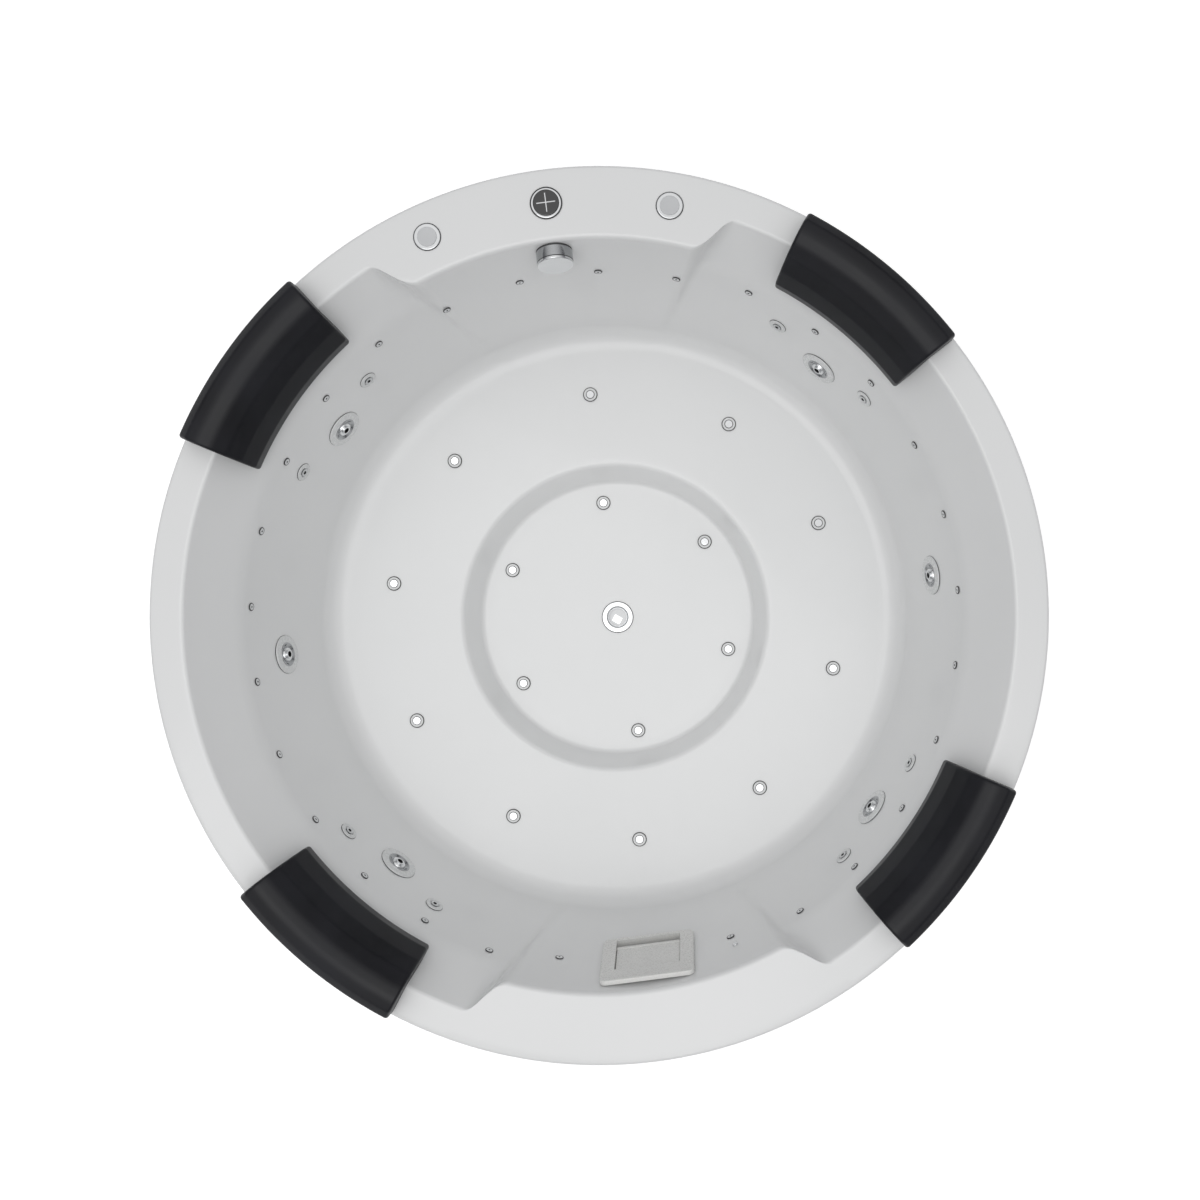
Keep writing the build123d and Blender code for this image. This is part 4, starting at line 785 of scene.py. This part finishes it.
def pillow_mesh(number, angle):
    """One pillow: its section carried round the rim, with soft ends and a slightly uneven skin."""
    corners = [(radius * MM, RIM + height * MM) for radius, height, _ in PILLOW_SECTION]
    section = rounded(corners, [soft * MM for _, _, soft in PILLOW_SECTION], 6, True)
    section = spread(section + [section[0]], PILLOW_STEP)[:-1]
    half = PILLOW_SPAN / 2
    reach = math.degrees(PILLOW_END_ROUND / PILLOW_MEAN_RADIUS)
    ends = [half - reach * (1 - math.cos(turn)) for turn in END_STEPS]
    insets = [PILLOW_END_ROUND * (1 - math.sin(turn)) for turn in END_STEPS]
    stations = [(-turn, gap) for turn, gap in zip(ends, insets)]
    span = half - reach
    stations += [
        (-span + 2 * span * k / PILLOW_COLUMNS, 0.0) for k in range(1, PILLOW_COLUMNS)
    ]
    stations += [(turn, gap) for turn, gap in reversed(list(zip(ends, insets)))]
    verts, count = [], len(section)
    for turn, gap in stations:
        ring = inset(section, gap) if gap > 1e-6 else section
        fullness = 1 - (turn / half) ** 6
        for point in ring:
            spot = polar(point.x, angle + turn, point.y)
            if point.y > RIM + SKIN_START:
                wave = noise.noise(spot * SKIN_SCALE + Vector((number, 0, 0)))
                spot.z -= SKIN_WAVE * (0.5 + wave * 0.5) * fullness
            verts.append(spot)
    faces = []
    for s in range(len(stations) - 1):
        for i in range(count):
            j = (i + 1) % count
            a, b = s * count, (s + 1) * count
            faces.append((a + i, a + j, b + j, b + i))
    faces.append(list(range(count)))
    faces.append([(len(stations) - 1) * count + i for i in reversed(range(count))])
    return make_object(f"pillow_{number}_soft", verts, faces, PU, 60.0)


for number, angle in enumerate(PILLOW_ANGLES, 1):
    pillow = pillow_mesh(number, angle)
    cut(pillow, [(where, circle(SOCKET_RADIUS, 24), *SOCKET_REACH) for where in stud_places(angle)])
    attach(pillow, f"pillow_{number}_body")
    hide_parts(f"pillow_{number}")


# Floor, light and camera


WORLD_LOW = (0.19, 0.19, 0.2)
WORLD_HIGH = (0.92, 0.92, 0.92)
CAMERA_PLACE = (0.2398, -0.0509, 3.700)
CAMERA_TURN = math.radians(-7.32)
CAMERA_LENS = 45.08
CAMERA_SHIFT = (-0.1012, 0.0213)


def stage_floor():
    """White floor that keeps the shadow under the tub."""
    half, low = 9.0, -0.0005
    verts = [(-half, -half, low), (half, -half, low), (half, half, low), (-half, half, low)]
    material = bpy.data.materials.new("studio_floor")
    material.use_nodes = True
    tree = material.node_tree
    tree.nodes.clear()
    paper = add_node(tree, "ShaderNodeBsdfDiffuse")
    paper.inputs["Color"].default_value = (0.86, 0.86, 0.86, 1)
    glow = add_node(tree, "ShaderNodeEmission")
    glow.inputs["Color"].default_value = (1, 1, 1, 1)
    path = add_node(tree, "ShaderNodeLightPath")
    seen = add_node(tree, "ShaderNodeMath", operation="MAXIMUM")
    tree.links.new(path.outputs["Is Camera Ray"], seen.inputs[0])
    tree.links.new(path.outputs["Is Glossy Ray"], seen.inputs[1])
    also = add_node(tree, "ShaderNodeMath", operation="MAXIMUM")
    tree.links.new(seen.outputs[0], also.inputs[0])
    tree.links.new(path.outputs["Is Transmission Ray"], also.inputs[1])
    level = add_node(tree, "ShaderNodeMath", operation="MULTIPLY")
    level.inputs[1].default_value = 0.5
    tree.links.new(also.outputs[0], level.inputs[0])
    tree.links.new(level.outputs[0], glow.inputs["Strength"])
    both = add_node(tree, "ShaderNodeAddShader")
    tree.links.new(paper.outputs[0], both.inputs[0])
    tree.links.new(glow.outputs[0], both.inputs[1])
    output = add_node(tree, "ShaderNodeOutputMaterial")
    tree.links.new(both.outputs[0], output.inputs["Surface"])
    floor = make_object("studio_floor", verts, [(0, 1, 2, 3)], material)


def stage_world():
    """Studio surroundings: white above, darker low down, white where the camera looks past."""
    world = bpy.data.worlds.new("studio")
    bpy.context.scene.world = world
    world.use_nodes = True
    tree = world.node_tree
    background = tree.nodes["Background"]
    where = add_node(tree, "ShaderNodeTexCoord")
    split = add_node(tree, "ShaderNodeSeparateXYZ")
    tree.links.new(where.outputs["Generated"], split.inputs["Vector"])
    shades = ramp(tree, split.outputs["Z"], WORLD_LOW, WORLD_HIGH, 0.35, 0.85)
    path = add_node(tree, "ShaderNodeLightPath")
    mix = add_node(tree, "ShaderNodeMix", data_type="RGBA")
    tree.links.new(path.outputs["Is Camera Ray"], mix.inputs["Factor"])
    tree.links.new(shades.outputs["Color"], mix.inputs[6])
    mix.inputs[7].default_value = (1, 1, 1, 1)
    tree.links.new(mix.outputs[2], background.inputs["Color"])
    background.inputs["Strength"].default_value = 1.0


def softbox(name, centre, target, size, power):
    """Soft studio lamp, its power in watts."""
    lamp = bpy.data.lights.new(name, "AREA")
    lamp.shape = "RECTANGLE"
    lamp.size, lamp.size_y = size
    lamp.energy = power
    holder = bpy.data.objects.new(name, lamp)
    bpy.context.scene.collection.objects.link(holder)
    holder.location = centre
    holder.rotation_euler = (Vector(target) - Vector(centre)).to_track_quat("-Z", "Y").to_euler()


stage_floor()
stage_world()
softbox("overhead", (-0.6, -0.8, 5.2), target=(0, 0, 0.4), size=(3.6, 3.0), power=37)
softbox("side_fill", (-4.2, -3.0, 2.6), target=(0, 0, 0.5), size=(2.4, 1.8), power=10)

camera_data = bpy.data.cameras.new("camera")
camera_data.sensor_width = 36.0
camera_data.lens = CAMERA_LENS
camera_data.shift_x, camera_data.shift_y = CAMERA_SHIFT
camera = bpy.data.objects.new("camera", camera_data)
bpy.context.scene.collection.objects.link(camera)
camera.location = CAMERA_PLACE
camera.rotation_euler = (0, 0, CAMERA_TURN)
bpy.context.scene.camera = camera

bpy.context.scene.view_settings.view_transform = "Standard"
